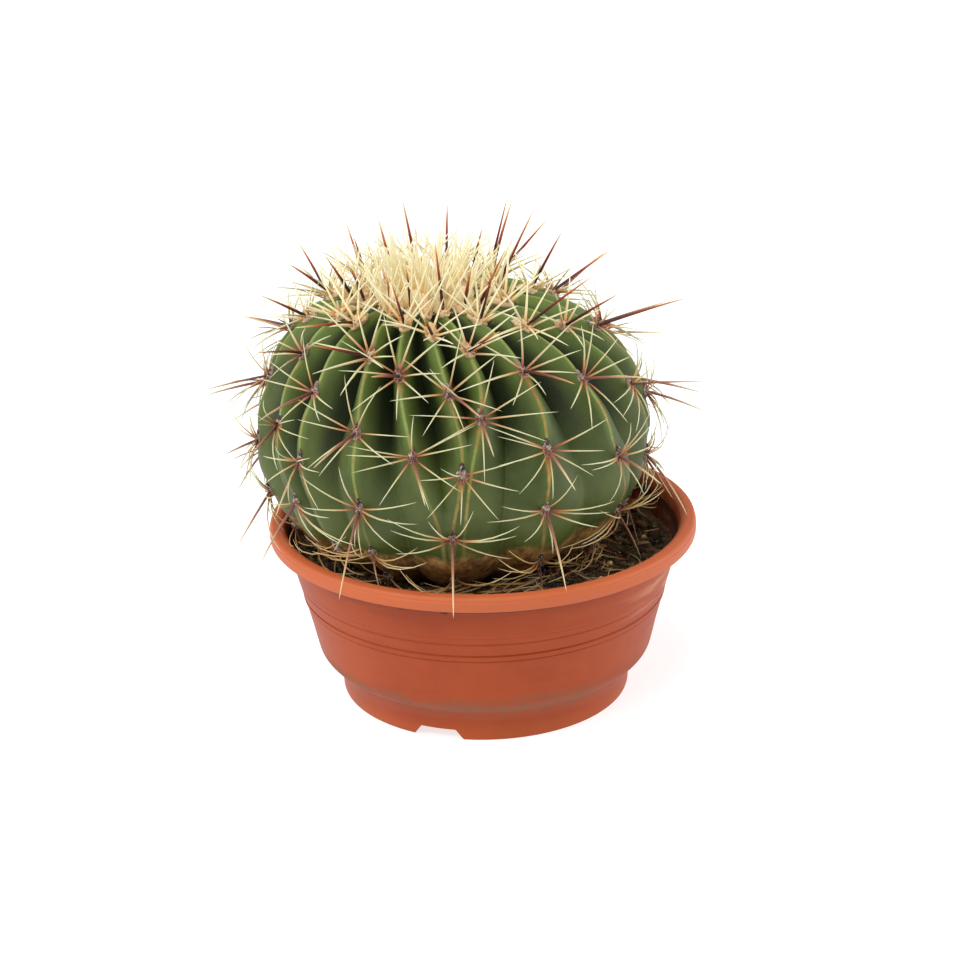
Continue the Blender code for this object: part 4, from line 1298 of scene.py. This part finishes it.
def make_fuzz(cushions):
    """Fine hairs on every cushion, long and dense on the young ones."""
    points, faces = needle_pattern(3, HAIR_SHAPE)
    draw = random.Random(SEED + 6)
    copies = []
    for cushion in cushions:
        seat, *frame = cushion["frame"]
        age = cushion["age"]
        size = cushion_size(age)
        count, length = YOUNG_FUZZ if age < YOUNG_UNTIL else GROWN_FUZZ
        copies += fuzz(points, draw, seat, frame, size, length, count, {"age": age})
    return repeated("cushion_fuzz", faces, copies, felt_finish())


def clear_of_bowl(points):
    """True where no point of a needle is in the bowl's wall or outside the object's box."""
    from_axis = np.hypot(points[:, 0] - POT_X, points[:, 1])
    in_wall = (points[:, 2] < RIM_TOP + SPARE) & (from_axis > RIM_RADIUS - 2.4 * ROLL)
    in_wall &= from_axis < RIM_RADIUS + SPARE
    outside = (points < BOX_LOW).any() or (points > BOX_HIGH).any()
    return not in_wall.any() and not outside


def grown(points, seat, along, towards, length, radius, bend):
    """A needle in its place, shortened and lifted where it would meet the bowl; None if it can't."""
    for lift, part in WAYS_CLEAR:
        way = (along - towards * lift).normalized()
        over = (towards - way * towards.dot(way)).normalized()
        shape = bent(points, seat, way, over, length * part, radius, bend)
        if clear_of_bowl(shape):
            return shape
    return None


def make_radials(cushions):
    """Stars of thin needles that bow back over the ball."""
    points, faces = needle_pattern(6, NEEDLE_SHAPE)
    draw = random.Random(SEED + 7)
    copies = []
    for cushion in cushions:
        seat, out, up, across = cushion["frame"]
        polar, age = cushion["polar"], cushion["age"]
        size = cushion_size(age)
        usual = between(RADIAL_LENGTHS, polar)
        usual_rise = between(RADIAL_RISE, polar)
        chords = []
        if cushion["star"]:
            chord_rise = usual_rise - between(RADIAL_BEND, polar) / 2
            for look in cushion["star"]:
                chords.append(seen_way(cushion["frame"], look, usual, chord_rise))
        else:
            turn = draw.uniform(-8.0, 8.0)
            star = SWEPT_STAR if polar > SWEPT_FROM else OPEN_STAR
            sparse = cushion["dry"] > 0.9 or polar < SPARSE_ABOVE
            for azimuth, part in star[::2] if sparse else star:
                around = radians(azimuth + turn + draw.uniform(-9.0, 9.0))
                rise = radians(usual_rise + draw.uniform(-9.0, 9.0) - between(RADIAL_BEND, polar) / 2)
                aside = across * math.cos(around) + up * math.sin(around)
                chords.append((aside * math.cos(rise) + out * math.sin(rise))
                              * (usual * part * draw.uniform(0.82, 1.08)))
        for chord in chords:
            half = radians(between(RADIAL_BEND, polar) * draw.uniform(0.6, 1.3)) / 2
            if cushion["dry"] > 0.5:
                half = half * draw.uniform(0.8, 1.6)
            length, way = chord.length * half / math.sin(half), chord.normalized()
            aside = (way - out * way.dot(out)).normalized()
            foot = seat + out * size[2] * 0.55
            foot += across * aside.dot(across) * size[0] * 0.5 + up * aside.dot(up) * size[1] * 0.5
            over = (out - way * out.dot(way)).normalized()
            radius = RADIAL_RADIUS * draw.uniform(0.85, 1.15) * (1.50 - 0.50 * age)
            shape = grown(points, foot, way * math.cos(half) + over * math.sin(half),
                          way * math.sin(half) - over * math.cos(half), length, radius, 2 * half)
            if shape is not None:
                copies.append(needle_copy(points, shape, draw, age, cushion["dry"]))
    return repeated("radial_spines", faces, copies, radial_finish())


def make_centrals(cushions):
    """One stout needle to a cushion, a little bowed under its own weight."""
    points, faces = needle_pattern(8, NEEDLE_SHAPE)
    draw = random.Random(SEED + 8)
    copies = []
    for cushion in cushions:
        if cushion["length"] < 0.01:
            continue
        seat, out, up, across = cushion["frame"]
        length = cushion["length"]
        droop, swing = radians(cushion["droop"]), radians(cushion["swing"])
        level = out * math.cos(droop) - up * math.sin(droop)
        fall = -up * math.cos(droop) - out * math.sin(droop)
        way = level * math.cos(swing) + across * math.sin(swing)
        bend = radians(CENTRAL_BEND * draw.uniform(0.2, 1.5))
        if cushion["central"]:
            chord = seen_way(cushion["frame"], cushion["central"], length, CENTRAL_RISE)
            length, way = chord.length, chord.normalized()
            fall = (-up - way * way.dot(-up)).normalized()
            bend = bend * 0.3
        size = cushion_size(cushion["age"])
        radius = CENTRAL_RADIUS * draw.uniform(0.9, 1.1) * (1.0 - 0.30 * cushion["dry"])
        radius *= 1.12 - 0.17 * cushion["age"]
        shape = grown(points, seat + out * size[2] * 0.4, way, fall, length, radius, bend)
        if shape is not None:
            copies.append((shape, {"along": points[:, 2], "age": cushion["age"], "tone": draw.random()}))
    return repeated("central_spines", faces, copies, central_finish())


# ---------------- crown

def pad_point(flat, azimuth, height):
    """A point of the crown's pad, a share of its radius out: its underside follows the dip."""
    polar = math.degrees(math.asin(min(1.0, PAD_RADIUS * flat / BODY_RADIUS)))
    low = skin(math.degrees(azimuth), polar)
    return low + UP * height * math.sqrt(max(0.0, 1.0 - flat * flat))


def make_pad():
    """The dome of wool in the crown's dip, lumpy where new cushions push through it."""
    pad = round_solid("crown_wool", 90, 40)
    for vertex in pad.data.vertices:
        flat = min(1.0, math.hypot(vertex.co.x, vertex.co.y))
        azimuth = math.atan2(vertex.co.x, -vertex.co.y)
        height = PAD_HEIGHT if vertex.co.z >= 0.0 else 0.0002
        point = pad_point(flat, azimuth, height)
        if vertex.co.z > 0.05:
            point.z += 0.0022 * noise.noise(point / 0.0042) * (1.0 - flat ** 4)
        vertex.co = point
    for name, value in (("age", 0.0), ("tone", 0.3)):
        stored(pad.data, name, [value] * len(pad.data.vertices))
    pad.data.materials.append(felt_finish())
    return shaded(pad, 60.0)


def make_pad_fuzz():
    """Tufts of fine wool all over the pad."""
    points, faces = needle_pattern(3, HAIR_SHAPE)
    draw = random.Random(SEED + 9)
    count, length = TUFT_FUZZ
    copies = []
    for _tuft in range(PAD_TUFTS):
        flat, azimuth = math.sqrt(draw.random()) * 0.97, draw.uniform(0, math.tau)
        at = pad_point(flat, azimuth, PAD_HEIGHT)
        out = Vector((math.sin(azimuth) * flat, -math.cos(azimuth) * flat, 1.1)).normalized()
        across = out.orthogonal().normalized()
        frame = (out, out.cross(across), across)
        copies += fuzz(points, draw, at, frame, TUFT, length, count, {"age": 0.0})
    return repeated("crown_fuzz", faces, copies, felt_finish())


def make_young_spines():
    """Clumps of pale young needles that stand in the crown's wool."""
    points, faces = needle_pattern(6, NEEDLE_SHAPE)
    draw = random.Random(SEED + 10)
    copies = []
    for flat, clumps, needles, lean, shortest, longest in YOUNG_CLUMPS:
        for index in range(clumps):
            azimuth = math.tau * (index + draw.uniform(-0.25, 0.25)) / clumps
            at = pad_point(flat + draw.uniform(-0.06, 0.06), azimuth, PAD_HEIGHT)
            for _needle in range(needles):
                tilt = radians(lean + draw.uniform(-16.0, 16.0))
                around = azimuth + draw.uniform(-0.7, 0.7)
                aside = across_of(around)
                way = aside * math.sin(tilt) + UP * math.cos(tilt)
                over = aside * math.cos(tilt) - UP * math.sin(tilt)
                foot = at - way * 0.002
                foot += Vector((draw.uniform(-1, 1), draw.uniform(-1, 1), 0.0)) * 0.0015
                shape = grown(points, foot, way, over, draw.uniform(shortest, longest),
                              YOUNG_RADIUS * draw.uniform(0.8, 1.15), radians(draw.uniform(-6.0, 9.0)))
                if shape is not None:
                    copies.append(needle_copy(points, shape, draw, 0.0, 0.0))
    return repeated("crown_spines", faces, copies, radial_finish())


# ---------------- studio

def make_floor():
    """A wide sheet of pale paper."""
    bpy.ops.object.select_all(action="DESELECT")
    bpy.ops.mesh.primitive_plane_add(size=60.0, location=(0.0, 0.0, -0.0002))
    floor = placed(added("studio_floor"))
    bpy.ops.object.mode_set(mode="EDIT")
    bpy.ops.mesh.subdivide(number_cuts=3)
    bpy.ops.object.mode_set(mode="OBJECT")
    floor.data.materials.append(floor_finish())
    shaded(floor, 60.0)


def hung(name, lamp, at, way):
    """A light at a place, shining along a direction."""
    light = bpy.data.objects.new(name, lamp)
    bpy.context.collection.objects.link(light)
    light.location = at
    light.rotation_euler = way.to_track_quat("-Z", "Y").to_euler()


def make_lights():
    """A broad soft light from the front left, two weak ones from the sides and a white room."""
    sun = bpy.data.lights.new("softbox", "SUN")
    sun.energy = SUN_POWER
    sun.angle = radians(SUN_ANGLE)
    hung("softbox", sun, (0.0, 0.0, 0.0), SUN_WAY)
    for name, at, size, power in SIDE_LIGHTS:
        lamp = bpy.data.lights.new(name, "AREA")
        lamp.size = size
        lamp.energy = power
        hung(name, lamp, at, LIGHT_AIM - Vector(at))
    world = bpy.data.worlds.new("studio")
    world.use_nodes = True
    background = world.node_tree.nodes["Background"].inputs
    background["Color"].default_value = (1.0, 1.0, 1.0, 1.0)
    background["Strength"].default_value = WORLD_LIGHT
    bpy.context.scene.world = world
    bpy.context.scene.view_settings.view_transform = "Standard"


def make_camera():
    """The camera in front of the plant, a little above it."""
    right, up, back = camera_frame()
    lens = bpy.data.cameras.new("camera")
    lens.sensor_fit = "HORIZONTAL"
    lens.sensor_width = 36.0
    lens.lens = CAMERA_LENS
    camera = bpy.data.objects.new("camera", lens)
    bpy.context.collection.objects.link(camera)
    camera.matrix_world = Matrix((right, up, back)).transposed().to_4x4()
    camera.location = CAMERA_AIM + back * CAMERA_DISTANCE
    bpy.context.scene.camera = camera


# ---------------- the whole

def ride(slot, *pieces):
    """Let pieces stand still with the root; the slot is not used."""
    for piece in pieces:
        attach(piece, "root")


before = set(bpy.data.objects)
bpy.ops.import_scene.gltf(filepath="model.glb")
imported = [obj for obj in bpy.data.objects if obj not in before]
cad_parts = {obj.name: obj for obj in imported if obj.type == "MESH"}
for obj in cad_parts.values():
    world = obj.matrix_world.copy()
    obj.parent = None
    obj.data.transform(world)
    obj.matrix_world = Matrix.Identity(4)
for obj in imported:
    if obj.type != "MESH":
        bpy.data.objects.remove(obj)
CAD_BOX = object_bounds()
BOX_LOW = np.array(CAD_BOX[0]) + 0.0003
BOX_HIGH = np.array(CAD_BOX[1]) - 0.0003
bpy.ops.object.select_all(action="DESELECT")

bowl = make_bowl()
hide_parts("pot")
ride("pot_plastic", bowl)

soil = make_soil()
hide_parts("soil")
ride("potting_soil", soil, make_crumbs(), make_clods(), make_beads(), make_litter())

RIBS = make_ribs()
CUSHIONS = all_cushions(RIBS)
ball = make_ball(RIBS)
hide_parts("cactus")
ride("cactus_flesh", ball)

pad = make_pad()
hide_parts("crown_tuft")
ride("young_spines", pad, make_pad_fuzz(), make_young_spines(), make_felt(CUSHIONS),
     make_fuzz(CUSHIONS), make_radials(CUSHIONS), make_centrals(CUSHIONS))

make_floor()
make_lights()
make_camera()
